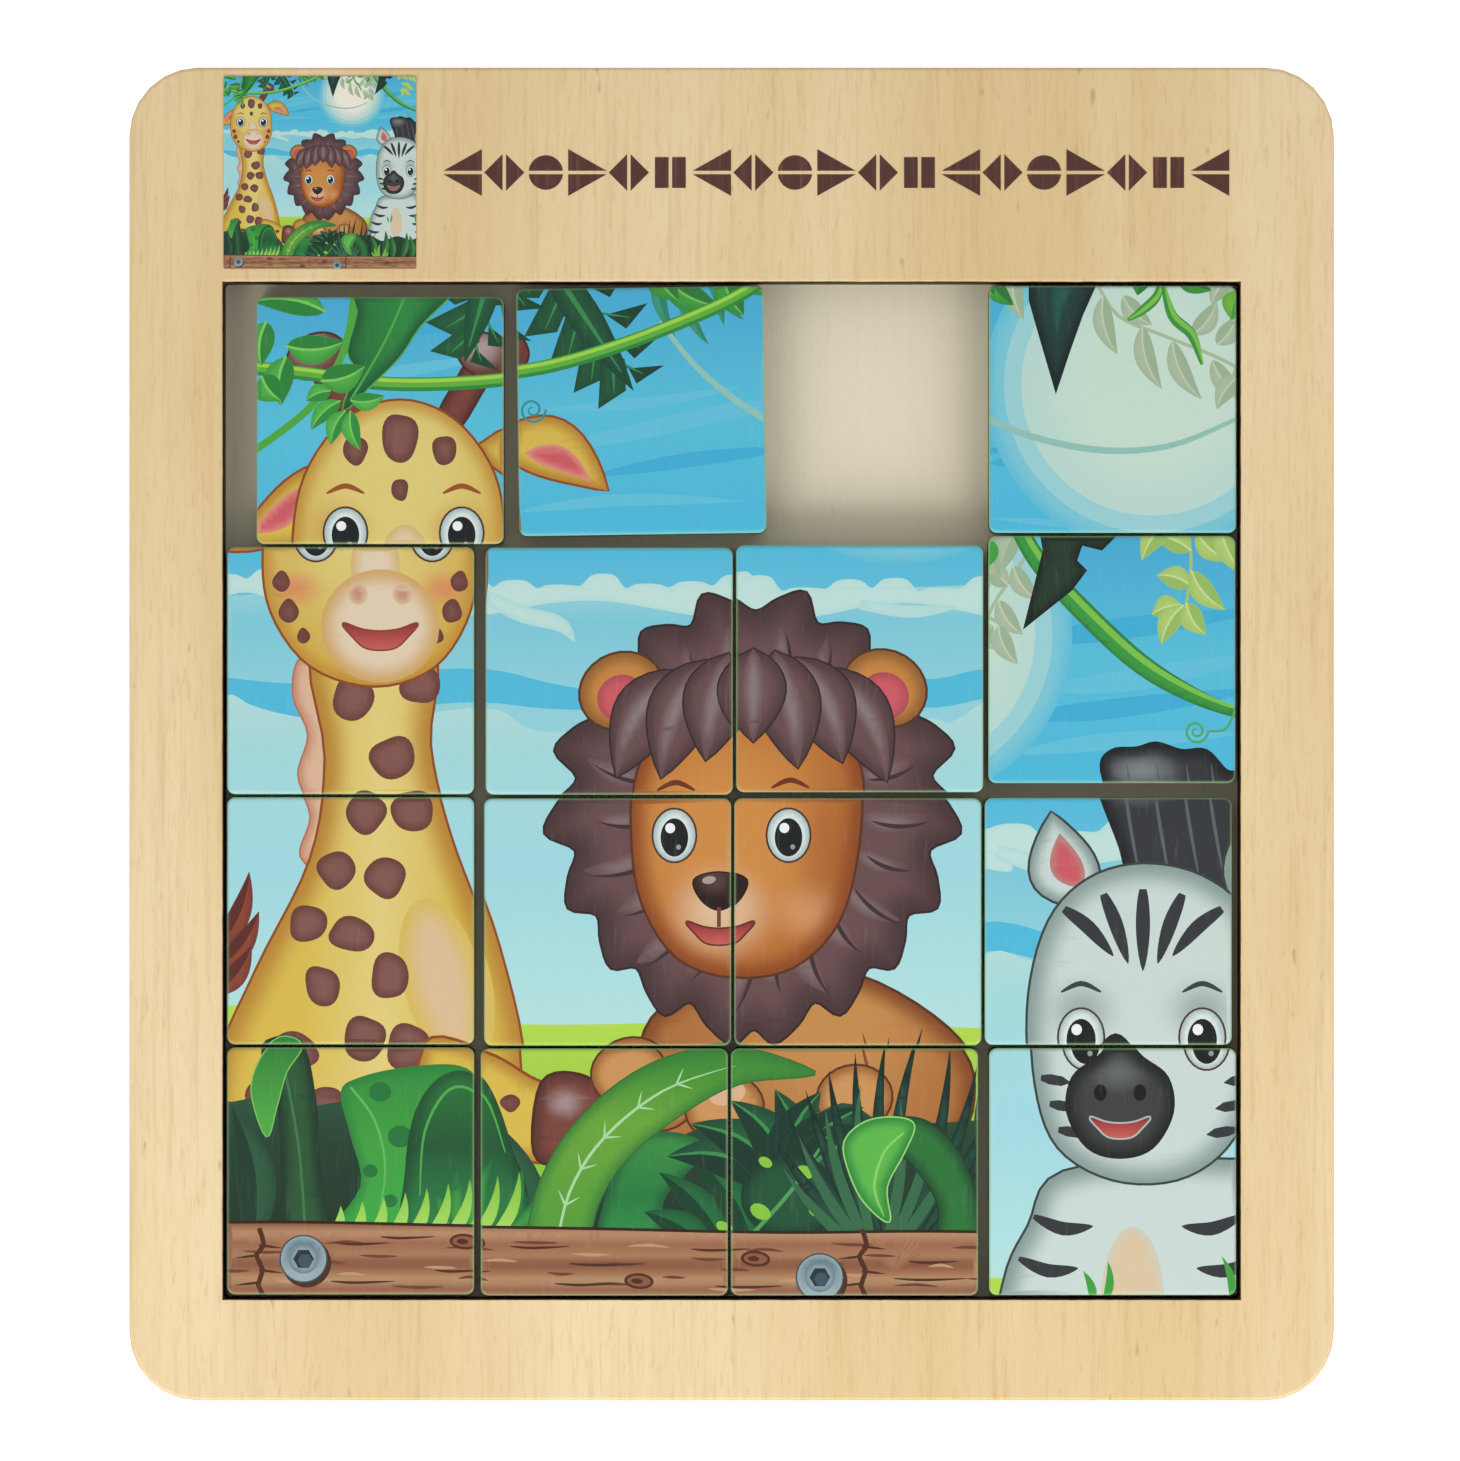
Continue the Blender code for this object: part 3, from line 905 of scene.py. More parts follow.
def draw_zebra(drawing, inks):
    """A zebra at the right, with an upright tuft of mane."""
    coat, stripe = inks.zebra, inks.stripe
    edge, line = "#869B96", "#39403F"
    middle = 3.64
    body = [
        (3.3, 2.5), (3.16, 2.72), (3.06, 2.95), (3.0, 3.45), (3.3, 3.7), (4.1, 3.7), (4.15, 2.6),
        (3.9, 2.45),
    ]
    drawing.form(body, shaded(coat, edge, 0.12), line, 0.01)
    drawing.add(oval(3.58, 3.04, 0.13, 0.32), shaded("#DCC5A2", "#CFCDBA", 0.04))
    for number in range(4):
        down = 2.68 + 0.17 * number
        for side in (-1, 1):
            start = 3.6 + side * (0.42 + 0.06 * number)
            marking = [
                (start, down), (start - side * 0.12, down + 0.05), (start - side * 0.24, down + 0.04),
            ]
            drawing.brush(marking, 0.055, stripe, (0.3, 0.08))
    tuft = curve_through([
        (3.46, 0.95), (3.5, 0.87), (3.6, 0.86), (3.68, 0.84), (3.78, 0.87), (3.88, 0.87), (3.96, 0.95),
        (4.04, 1.0), (4.04, 1.36), (3.84, 1.4), (3.62, 1.42), (3.55, 1.2),
    ])
    crest = blushed(stripe, 3.62, 0.95, 0.2, 0.1, "#8A9294", 0.8)
    drawing.inked(tuft, shaded(crest, "#1B1D1E", 0.06), "#191B1C", 0.009)
    for across in (3.6, 3.72, 3.84, 3.94):
        hair = [(across - 0.04, 0.92), (across - 0.01, 1.12), (across + 0.03, 1.34)]
        drawing.brush(hair, 0.014, "#5C6364", (0.1, 0.1))
    for base, tip, bend in (((3.42, 1.44), (3.27, 1.06), -0.1), ((4.02, 1.42), (4.14, 1.0), 0.1)):
        drawing.inked(leaf(base, tip, 0.27, bend), shaded(coat, edge, 0.06), line, 0.01)
        base, tip = np.array(base), np.array(tip)
        inner = leaf(base + 0.2 * (tip - base), base + 0.78 * (tip - base), 0.13, bend)
        drawing.add(inner, shaded(inks.blush, "#B9847E", 0.03))
    head = curve_through([
        (3.26, 1.5), (3.42, 1.33), (3.64, 1.27), (3.88, 1.32), (4.06, 1.48), (4.12, 1.8), (4.08, 2.15),
        (3.96, 2.4), (3.76, 2.53), (3.5, 2.53), (3.28, 2.4), (3.19, 2.15), (3.18, 1.8),
    ])
    fur = coat
    for across in (3.39, 3.88):
        fur = blushed(fur, across, 1.86, 0.2, 0.17, "#8FA09B", 0.8)
    drawing.inked(head, shaded(fur, edge, 0.12, 0.95), line, 0.01)
    for number in range(5):
        share = number / 2 - 1
        top = (middle + 0.32 * share, 1.37 + 0.08 * share ** 2)
        foot = (middle + 0.12 * share, 1.7 - 0.06 * abs(share))
        bent = ((top[0] + foot[0]) / 2, (top[1] + foot[1]) / 2 - 0.02)
        drawing.brush([top, bent, foot], 0.058, stripe, (0.5, 0.08))
    for side in (-1, 1):
        for number in range(3):
            down = 2.12 + 0.105 * number
            out = middle + side * (0.43 - 0.035 * number)
            drawing.brush(
                [(out, down), (out - side * 0.12, down + 0.02)], 0.045, stripe, (0.5, 0.08), 3,
            )
    for across in (3.39, 3.88):
        draw_eye(drawing, across, 1.97, 0.09, 0.115, line)
    nose = curve_through([
        (3.53, 1.96), (3.62, 2.04), (3.72, 2.12), (3.74, 2.26), (3.66, 2.4), (3.53, 2.44), (3.4, 2.4),
        (3.32, 2.26), (3.34, 2.12), (3.44, 2.04),
    ])
    dusk = blushed("#3D403F", 3.52, 2.1, 0.16, 0.1, "#70756F", 0.7)
    drawing.inked(nose, shaded(dusk, "#1E2020", 0.07), "#191B1C", 0.008)
    for across in (3.45, 3.61):
        drawing.add(oval(across, 2.18, 0.026, 0.034, 0, 14), "#0F1011")
    draw_smile(drawing, 3.53, 2.28, 0.12, "#B0BCB8")


def sprig(drawing, places, light, dark, width, vein=None):
    """Small leaves of one kind, each from its base to its tip."""
    for base, tip in places:
        drawing.blade(base, tip, width, 0.1, light, dark, vein)


def fan(drawing, foot, reach, blades, spread, lean, width, paint, bend=0.1):
    """Blades that fan out from one foot; lean is the middle blade's angle from upright."""
    for number in range(blades):
        share = number / max(blades - 1, 1) - 0.5
        angle = math.radians(lean + spread * share)
        length = reach * (1 - 0.5 * abs(share))
        tip = (foot[0] + length * math.sin(angle), foot[1] - length * math.cos(angle))
        drawing.add(leaf(foot, tip, width, bend * (1 if share > 0 else -1)), paint)


def fingered_leaf(drawing, base, tip, width, fingers, light, dark, vein):
    """A big leaf cut into square-ended fingers on both sides of its rib."""
    base, tip = np.array(base, float), np.array(tip, float)
    run = tip - base
    ahead = run / np.linalg.norm(run)
    for way in (-1, 1):
        side = np.array([-ahead[1], ahead[0]]) * way
        for number in range(fingers):
            share = (number + 0.5) / fingers
            reach = width / 2 * (0.55 + 0.6 * math.sin(math.pi * (0.15 + 0.75 * share)))
            root = base + run * share
            lean = 0.35 + 0.75 * share
            way_out = side * math.cos(lean) + ahead * math.sin(lean)
            across = np.array([-way_out[1], way_out[0]])
            half = np.linalg.norm(run) / fingers * 0.45
            end = root + way_out * reach
            finger = [
                root - across * half * 0.9, root + across * half * 0.9,
                end + across * half * way * 1.25, end - across * half * way * 0.9 - way_out * 0.07,
            ]
            drawing.add(finger, shaded(light if way > 0 else dark, darker(dark, 0.7), 0.03, 0.5))
            drawing.brush([tuple(root), tuple(end - way_out * 0.06)], 0.01, vein, (1, 0.2), 2)
    drawing.add(leaf(base, tip + run * 0.16, width * 0.3, 0), shaded(light, dark, 0.05))
    drawing.brush([tuple(base), tuple(tip)], 0.02, vein, (1.0, 0.2), 2)


def draw_undergrowth(drawing, inks):
    """Leaves, straps and fans of blades in front of the animals, from left to right."""
    light, green, dark = inks.leaf_light, inks.leaf, inks.thicket
    back = [
        (-0.2, 3.26), (0.02, 3.22), (0.16, 3.2), (0.3, 3.24), (0.46, 3.22), (0.7, 3.2), (1.0, 3.24),
        (1.12, 3.5), (1.3, 3.6), (1.6, 3.52), (1.8, 3.36), (2.0, 3.3), (2.2, 3.34), (2.45, 3.22),
        (2.62, 3.3), (2.85, 3.3), (3.05, 3.3), (3.3, 3.42), (3.6, 3.32), (3.9, 3.4), (4.2, 3.3),
        (4.2, 4.1), (2.0, 4.2), (-0.2, 4.1),
    ]
    drawing.form(back, fade([(3.2, "#28503A"), (3.4, dark), (3.7, darker(dark, 0.7))]))
    for base, tip, wide in (
        ((0.1, 3.8), (0.02, 3.24), 0.16), ((0.55, 3.8), (0.5, 3.26), 0.14),
        ((1.2, 3.85), (1.06, 3.3), 0.14),
    ):
        drawing.blade(base, tip, wide, 0.1, "#2A5A3C", "#1B3B2B")
    strap = [
        (0.24, 3.86), (0.22, 3.5), (0.2, 3.2), (0.14, 3.0), (0.3, 2.98), (0.36, 3.2), (0.38, 3.5),
        (0.42, 3.86),
    ]
    drawing.form(strap, shaded("#2A5733", "#173522", 0.06))
    drawing.brush([(0.32, 3.8), (0.29, 3.4), (0.22, 3.02)], 0.01, "#3F7746")
    flap = [(0.16, 3.36), (0.1, 3.18), (0.14, 3.04), (0.22, 2.97), (0.3, 3.0), (0.24, 3.1), (0.2, 3.24)]
    drawing.form(flap, fade([(2.98, "#2E7F38"), (3.3, "#4FA843")]), "#7CC25A", 0.005)
    droop = [
        (0.42, 3.78), (0.54, 3.56), (0.5, 3.36), (0.46, 3.18), (0.54, 3.12), (0.72, 3.08), (0.92, 3.07),
        (1.0, 3.12), (0.9, 3.2), (0.8, 3.36), (0.78, 3.56), (0.82, 3.78),
    ]
    drawing.form(
        droop, shaded(fade([(3.05, "#2E8A3A"), (3.4, green), (3.75, "#38A844")]), "#2A7A38", 0.05, 0.7),
    )
    drawing.brush([(0.5, 3.16), (0.6, 3.3), (0.64, 3.5), (0.6, 3.74)], 0.01, "#62B45C", (1, 0.2))
    for across, down, size in (
        (0.62, 3.18, 0.045), (0.7, 3.36, 0.05), (0.58, 3.5, 0.03), (0.66, 3.62, 0.03),
    ):
        drawing.add(oval(across, down, size, size * 0.9, 0, 14), "#23753A")
    rolled = [
        (0.74, 3.78), (0.72, 3.5), (0.76, 3.26), (0.86, 3.12), (0.98, 3.1), (1.06, 3.2), (1.14, 3.45),
        (1.2, 3.8),
    ]
    drawing.form(
        rolled,
        shaded(fade([(3.1, "#2A7536"), (3.4, "#1C5631"), (3.75, "#2A8446")]), "#163F28", 0.06, 0.7),
    )
    drawing.brush(
        [(0.78, 3.6), (0.8, 3.34), (0.9, 3.17), (1.02, 3.2), (1.1, 3.42)], 0.012, "#4FA84A", (0.4, 0.4),
    )
    fan(drawing, (1.0, 3.84), 0.42, 6, 90, 16, 0.08, shaded("#3D9C44", "#23703A", 0.03))
    for number in range(9):
        foot = 0.4 + 0.075 * number
        drawing.add(
            leaf((foot, 3.8), (foot + 0.06 + 0.012 * number, 3.64 - 0.018 * number), 0.05, 0.14),
            fade([(3.5, light), (3.75, "#A9DC62")]),
        )
    slab = [
        (1.48, 3.82), (1.52, 3.55), (1.64, 3.36), (1.8, 3.34), (1.92, 3.4), (1.84, 3.5), (1.74, 3.62),
        (1.72, 3.82),
    ]
    drawing.form(
        slab,
        shaded(fade([(3.36, "#3A8F42"), (3.6, "#237A3E"), (3.75, "#2C8C46")]), "#1A5230", 0.05, 0.8),
    )
    stems = (((2.0, 3.84), (1.72, 3.5)), ((2.1, 3.84), (1.84, 3.42)), ((1.94, 3.84), (1.66, 3.66)))
    sprig(drawing, stems, "#1F6B3C", "#124129", 0.13)
    for number in range(7):
        angle = math.radians(-160 + 21 * number)
        heart = np.array([2.24, 3.58])
        tip = heart + np.array([0.52 * math.cos(angle), 0.42 * math.sin(angle)])
        drawing.blade(
            tuple(heart), tuple(tip), 0.19, 0.14 if number < 4 else -0.14, "#1F5A36", "#12372A",
            "#3C8C4A",
        )
    drawing.add(oval(2.24, 3.6, 0.2, 0.17), shaded("#1C5334", "#12372A", 0.06))
    drawing.brush([(2.04, 3.8), (2.24, 3.58), (2.4, 3.34)], 0.016, "#4C9C54", (1, 0.3))
    for across, down, size in (
        (2.14, 3.46, 0.02), (2.3, 3.5, 0.024), (2.12, 3.66, 0.03), (1.98, 3.72, 0.02),
        (2.34, 3.66, 0.018),
    ):
        drawing.add(oval(across, down, size * 1.5, size, 30, 12), "#86C440")
    fan(drawing, (2.66, 3.9), 0.98, 13, 96, 6, 0.06, shaded("#1F4A3A", "#10291F", 0.02), 0.05)
    fan(drawing, (2.6, 3.86), 0.72, 7, 80, -6, 0.045, "#356A48", 0.06)
    arch = [(1.3, 3.84), (1.36, 3.58), (1.5, 3.36), (1.74, 3.17), (2.02, 3.07), (2.34, 3.1)]
    drawing.inked(
        stroke(arch, 0.25, 1.0, 0.04),
        shaded(fade([(3.05, "#3A8A32"), (3.3, "#68A636"), (3.75, "#549A36")]), "#2F7A34", 0.05, 0.75),
        "#2F6F2C",
        0.006,
    )
    rib = curve_through(arch, closed=False)
    drawing.brush(arch[:5], 0.012, "#A8D8A0", (0.8, 0.1))
    for place in range(4, 18, 3):
        run = rib[place + 1] - rib[place]
        run /= np.linalg.norm(run)
        for way in (-1, 1):
            end = rib[place] + 0.05 * run + 0.045 * way * np.array([-run[1], run[0]])
            drawing.brush([tuple(rib[place]), tuple(end)], 0.008, "#A8D8A0", (1, 0.2), 2)
    hood = [
        (2.47, 3.4), (2.52, 3.32), (2.66, 3.28), (2.8, 3.3), (2.92, 3.42), (2.99, 3.6), (3.0, 3.82),
        (2.84, 3.82), (2.84, 3.64), (2.76, 3.5), (2.66, 3.42),
    ]
    drawing.form(hood, shaded("#2A7536", "#1B4F2B", 0.05), "#173B24", 0.006)
    lip = [
        (2.46, 3.38), (2.54, 3.3), (2.66, 3.28), (2.74, 3.31), (2.7, 3.42), (2.63, 3.56), (2.64, 3.7),
        (2.54, 3.62), (2.48, 3.5),
    ]
    drawing.form(lip, shaded("#5DB84A", "#2E8A3A", 0.05), "#9AD672", 0.006)
    drawing.brush([(2.7, 3.34), (2.62, 3.42), (2.58, 3.56), (2.62, 3.68)], 0.01, "#8CD068", (0.6, 0.3))
    for foot, tip in (
        (3.15, (3.05, 3.3)), (3.3, (3.36, 3.2)), (3.5, (3.46, 3.3)), (3.68, (3.8, 3.24)),
        (3.9, (3.86, 3.3)),
    ):
        drawing.blade((foot, 3.8), tip, 0.13, 0.08, "#3C8C40", "#235C30")
    fan(drawing, (3.25, 3.82), 0.34, 5, 90, 0, 0.06, light)
    for foot, tip in (
        ((3.42, 3.04), (3.38, 2.9)), ((3.46, 3.04), (3.48, 2.86)), ((3.98, 3.04), (3.94, 2.84)),
        ((4.0, 3.04), (4.02, 2.88)),
    ):
        drawing.add(leaf(foot, tip, 0.035, 0.1), green)
    red_stems = (((-0.05, 2.62), (0.09, 2.3)), ((-0.05, 2.7), (0.13, 2.46)), ((-0.06, 2.8), (0.1, 2.6)))
    sprig(drawing, red_stems, "#8C4430", "#5C2A22", 0.09)


def draw_plank(drawing, inks):
    """A wooden plank along the bottom, with grain, knots, cracks and two bolts."""
    grain = "#4F2A1A"
    top = [
        (-0.2, 3.715), (0.3, 3.712), (0.9, 3.725), (1.5, 3.735), (2.2, 3.75), (2.8, 3.745),
        (3.5, 3.755), (4.2, 3.75),
    ]
    board = curve_through(top, closed=False)
    board = np.vstack([board, [(4.2, 4.1), (-0.2, 4.1)]])
    tones = [
        (3.71, "#84513A"), (3.75, "#B98D6A"), (3.79, "#9A664A"), (3.84, "#A87A58"), (3.87, "#7E4C36"),
        (3.91, "#A2714F"), (3.94, "#B8936C"), (3.97, "#8F5F46"), (4.0, "#A07252"),
    ]
    drawing.inked(board, fade(tones), "#301A12", 0.012)
    for number in range(44):
        across = -0.1 + 0.0955 * number + 0.04 * math.sin(5.1 * number)
        down = 3.775 + 0.2 * ((number * 0.618) % 1.0)
        length = 0.09 + 0.12 * ((number * 0.371) % 1.0)
        tone = "#6E402C" if number % 3 else "#BE9470"
        drawing.brush(
            [
                (across, down), (across + length / 2, down + 0.007 * math.sin(number)),
                (across + length, down + 0.004),
            ],
            0.013,
            tone,
            (0.1, 0.1),
            3,
        )
    for down, start, end in (
        (3.79, 0.44, 0.6), (3.765, 0.62, 0.78), (3.945, 0.42, 0.62), (3.9, 0.84, 0.98),
        (3.8, 1.12, 1.3), (3.87, 1.36, 1.6), (3.95, 1.3, 1.5), (3.81, 1.85, 2.02), (3.96, 1.95, 2.15),
        (3.86, 2.72, 2.86), (3.93, 2.66, 2.9), (3.82, 3.05, 3.3), (3.92, 3.2, 3.6), (3.85, 3.5, 3.85),
    ):
        drawing.brush(
            [(start, down), ((start + end) / 2, down + 0.006), (end + 0.06, down)],
            0.011,
            grain,
            (0.3, 0.2),
        )
    for across, down in ((0.96, 3.785), (1.64, 3.94), (2.1, 3.85), (3.4, 3.87)):
        drawing.add(oval(across, down, 0.06, 0.032, 4, 20), grain)
        drawing.add(oval(across, down, 0.048, 0.022, 4, 20), "#8A5840")
        drawing.add(oval(across - 0.008, down, 0.024, 0.011, 4, 14), grain)
    for across in (0.13, 2.53):
        crack = [
            (across, 3.73), (across + 0.02, 3.8), (across - 0.012, 3.84), (across + 0.016, 3.9),
            (across - 0.004, 3.96), (across + 0.03, 4.02),
        ]
        drawing.brush(crack, 0.02, grain, steps=2)
        for shift, way in ((3.8, 1), (3.84, -1), (3.9, 1), (3.95, -1)):
            drawing.brush(
                [(across, shift), (across + 0.1 * way, shift + 0.012)], 0.01, grain, (1, 0.1), 2,
            )
    for across, down in ((0.31, 3.855), (2.36, 3.925)):
        drawing.add(oval(across + 0.012, down + 0.016, 0.1, 0.1), "#4A2A1E")
        drawing.inked(
            oval(across, down, 0.092, 0.092),
            shaded(
                fade([(down - 0.1, "#5B727C"), (down, inks.bolt), (down + 0.1, "#AFC0C2")]),
                "#93A8AE",
                0.022,
            ),
            "#3C4A4E",
            0.006,
        )
        drawing.add(oval(across, down, 0.06, 0.06), shaded("#8CA2A8", "#6B828B", 0.02))
        drawing.add(oval(across, down, 0.042, 0.042, 0, 6), "#26343A")
        drawing.add(oval(across + 0.006, down + 0.008, 0.03, 0.03, 0, 6), "#40545C")


def draw_canopy(drawing, inks):
    """Vines and leaves that hang into the top of the picture."""
    light, green = inks.leaf_light, inks.leaf
    drawing.brush(
        [(1.58, 0.14), (1.76, 0.36), (2.04, 0.56), (2.4, 0.66), (2.72, 0.65), (3.0, 0.54)],
        0.028,
        "#93C4B8",
        (0.6, 0.6),
    )
    twig = "#A9BE9C"
    drawing.brush([(2.42, -0.04), (2.52, 0.12), (2.7, 0.2), (2.9, 0.28), (3.06, 0.36)], 0.014, twig)
    drawing.brush([(3.2, -0.05), (3.14, 0.1), (3.02, 0.28), (2.98, 0.4)], 0.014, twig)
    sprig(
        drawing,
        (
            ((2.46, 0.04), (2.52, 0.28)), ((2.54, 0.04), (2.66, 0.16)), ((2.62, 0.16), (2.7, 0.42)),
            ((2.74, 0.22), (2.86, 0.46)), ((2.82, 0.2), (2.92, 0.06)), ((2.92, 0.24), (3.0, 0.12)),
            ((2.9, 0.3), (3.04, 0.46)), ((3.08, 0.2), (2.98, 0.14)), ((3.04, 0.26), (3.14, 0.4)),
            ((3.02, 0.36), (2.92, 0.5)), ((3.04, 0.36), (3.12, 0.52)), ((3.1, 0.12), (3.2, 0.26)),
            ((2.1, -0.06), (2.14, 0.14)), ((2.98, -0.04), (2.9, 0.08)),
        ),
        "#AFC0A2",
        "#9DB596",
        0.085,
        "#C3CFB4",
    )
    shard = [
        (2.16, -0.06), (2.16, 0.06), (2.2, 0.2), (2.27, 0.44), (2.33, 0.26), (2.38, 0.12),
        (2.46, -0.06),
    ]
    drawing.add(shard, shaded("#1D3D38", "#101F20", 0.05))
    drawing.form(
        [(2.26, 0.0), (2.25, 0.1), (2.27, 0.2), (2.31, 0.08), (2.35, -0.02)],
        shaded("#1F5A50", "#1A433C", 0.02),
    )
    for places, wide in (
        ([(2.56, 0.14), (2.62, 0.1), (2.68, 0.04), (2.7, -0.05)], 0.04),
        ([(2.7, -0.02), (2.74, 0.12), (2.82, 0.2), (2.86, 0.32)], 0.045),
    ):
        drawing.brush(places, wide, "#3B9440", (0.2, 0.2))
        drawing.brush([(x + 0.006, y - 0.004) for x, y in places], wide * 0.45, "#7CC24C", (0.2, 0.2))
    sprig(
        drawing,
        (((2.0, -0.04), (2.1, 0.08)), ((2.64, -0.06), (2.6, 0.04)), ((2.76, -0.06), (2.9, 0.02))),
        green,
        "#2C7A36",
        0.08,
    )
    sprig(
        drawing,
        (
            ((1.58, -0.1), (1.64, 0.2)), ((1.66, -0.1), (1.78, 0.24)), ((1.78, -0.1), (1.92, 0.14)),
            ((1.86, -0.1), (1.84, 0.16)), ((1.72, -0.1), (1.68, 0.12)),
        ),
        "#3E9A78",
        "#2F8470",
        0.06,
    )
    sprig(
        drawing,
        (
            ((1.6, -0.04), (1.82, 0.08)), ((1.84, -0.05), (1.92, 0.12)), ((1.56, -0.1), (1.66, 0.06)),
            ((1.94, -0.08), (2.02, 0.04)),
        ),
        green,
        "#2C7A36",
        0.12,
        "#6CC05A",
    )
    fingered_leaf(drawing, (1.1, -0.16), (1.42, 0.34), 0.46, 5, "#1C5638", "#154530", "#3A8A50")
    fingered_leaf(drawing, (0.98, -0.22), (0.86, 0.2), 0.4, 4, "#1E5E3A", "#174C32", "#3A8A50")
    sprig(
        drawing,
        (((3.02, -0.06), (3.05, 0.18)), ((3.12, -0.02), (3.06, 0.14))),
        "#AFC0A2",
        "#9DB596",
        0.09,
    )
    swoop = [(3.1, -0.08), (3.2, 0.1), (3.38, 0.3), (3.62, 0.52), (3.86, 0.66), (4.08, 0.74)]
    drawing.brush(swoop, 0.085, shaded("#3A9A40", "#2A7A36", 0.02), (0.8, 0.3))
    drawing.brush([(x + 0.008, y - 0.016) for x, y in swoop], 0.026, "#7CC24C", (0.8, 0.3))
    blade = [
        (3.2, -0.06), (3.22, 0.06), (3.14, 0.38), (3.34, 0.22), (3.4, 0.14), (3.36, 0.1), (3.38, 0.04),
        (3.46, 0.06), (3.52, 0.0), (3.54, -0.06),
    ]
    drawing.add(blade, shaded("#223A2A", "#121C16", 0.04))
    drawing.brush([(3.8, -0.08), (3.82, 0.1), (3.8, 0.28)], 0.012, "#A8C46A")
    sprig(
        drawing,
        (
            ((3.82, 0.06), (3.66, 0.0)), ((3.82, 0.2), (3.68, 0.16)), ((3.82, 0.14), (3.96, 0.3)),
            ((3.78, 0.28), (3.66, 0.32)), ((3.79, 0.28), (3.7, 0.44)), ((3.8, 0.27), (3.88, 0.4)),
            ((3.84, -0.02), (3.98, 0.1)), ((3.74, -0.06), (3.62, 0.1)), ((3.94, -0.06), (4.04, 0.16)),
        ),
        "#B2CF74",
        "#98BE62",
        0.095,
        "#C9DE96",
    )
    sprig(drawing, (((3.02, 0.02), (2.98, 0.14)),), light, green, 0.1)
    drawing.brush(curl(3.84, 0.79, 0.05), 0.01, "#4FA868", (1, 0.4), 2)
    drawing.brush([(3.89, 0.79), (3.96, 0.78), (4.0, 0.7)], 0.01, "#4FA868")
    vine = [
        (-0.1, 0.28), (0.2, 0.31), (0.5, 0.35), (0.8, 0.35), (1.1, 0.32), (1.4, 0.24), (1.7, 0.13),
        (1.9, 0.04), (2.05, -0.06),
    ]
    drawing.brush(vine, 0.056, "#2F8A3C")
    drawing.brush([(across, down - 0.006) for across, down in vine], 0.038, "#5FB23C")
    drawing.brush([(across, down - 0.014) for across, down in vine], 0.014, "#A2D64C")
    drawing.brush(
        [(-0.1, 0.68), (0.08, 0.56), (0.24, 0.42), (0.36, 0.2), (0.4, -0.05)], 0.03, "#4FA83C",
    )
    sail = [
        (0.4, -0.1), (0.41, 0.06), (0.37, 0.22), (0.4, 0.3), (0.35, 0.46), (0.46, 0.36), (0.58, 0.24),
        (0.66, 0.12), (0.78, 0.0), (0.86, -0.1),
    ]
    drawing.inked(
        curve_through(sail, steps=3),
        shaded(fade([(0.35, "#1F6B36"), (0.6, "#2E8A40"), (0.8, "#1F6B36")], axis=0), "#1B5A30", 0.05),
        "#4CA84A",
        0.006,
    )
    drawing.brush([(0.62, -0.05), (0.52, 0.18), (0.38, 0.42)], 0.01, "#4CA84A")
    sprig(
        drawing,
        (
            ((0.28, 0.06), (-0.02, 0.02)), ((0.04, 0.1), (0.02, 0.28)), ((0.12, 0.2), (0.36, 0.18)),
            ((0.12, 0.24), (0.1, 0.44)), ((0.26, 0.34), (0.44, 0.28)), ((0.02, 0.32), (0.1, 0.42)),
        ),
        "#4FB046",
        "#2A8438",
        0.12,
        "#7CCB5E",
    )
    sprig(
        drawing,
        (
            ((0.34, 0.42), (0.22, 0.54)), ((0.36, 0.46), (0.3, 0.6)), ((0.38, 0.46), (0.42, 0.62)),
            ((0.38, 0.42), (0.52, 0.4)), ((0.3, 0.38), (0.2, 0.42)),
        ),
        "#55B84C",
        "#2F8F3C",
        0.075,
        "#7CCB5E",
    )
    drawing.brush(curl(1.06, 0.49, 0.055), 0.009, "#2F9098", (1, 0.4), 2)


def jungle_picture(inks, sun=None):
    """The whole picture, from back to front."""
    drawing = Drawing()
    draw_sky(drawing, inks, sun or inks.sun)
    for draw in (
        draw_meadow, draw_giraffe, draw_lion, draw_zebra, draw_undergrowth, draw_plank, draw_canopy,
    ):
        draw(drawing, inks)
    return drawing


# ---------------------------------------------------------------- picture into mesh


def inside(outline, places):
    """Which places lie in an outline, counting how often it winds round them."""
    turns = np.zeros(len(places), int)
    x, y = places[:, 0], places[:, 1]
    ends = np.roll(outline, -1, axis=0)
    for (x0, y0), (x1, y1) in zip(outline, ends):
        left = (x1 - x0) * (y - y0) - (x - x0) * (y1 - y0)
        turns += (y0 <= y) & (y1 > y) & (left > 0)
        turns -= (y0 > y) & (y1 <= y) & (left < 0)
    return turns != 0


def rounded_square(half, corner):
    """The outline of a square about the origin."""
    corner = max(corner, half * 0.002)
    points = []
    for quarter, (side_x, side_y) in enumerate(((1, 1), (-1, 1), (-1, -1), (1, -1))):
        for step in range(CORNER_STEPS + 1):
            angle = (quarter + step / CORNER_STEPS) * math.pi / 2
            points.append((
                side_x * (half - corner) + corner * math.cos(angle),
                side_y * (half - corner) + corner * math.sin(angle),
            ))
    return np.array(points)


def depth_inside(places, half, corner):
    """How far each place lies inside a rounded square."""
    reach = np.abs(places) - (half - corner)
    outer = np.hypot(np.maximum(reach[:, 0], 0), np.maximum(reach[:, 1], 0))
    return corner - outer - np.minimum(np.maximum(reach[:, 0], reach[:, 1]), 0)


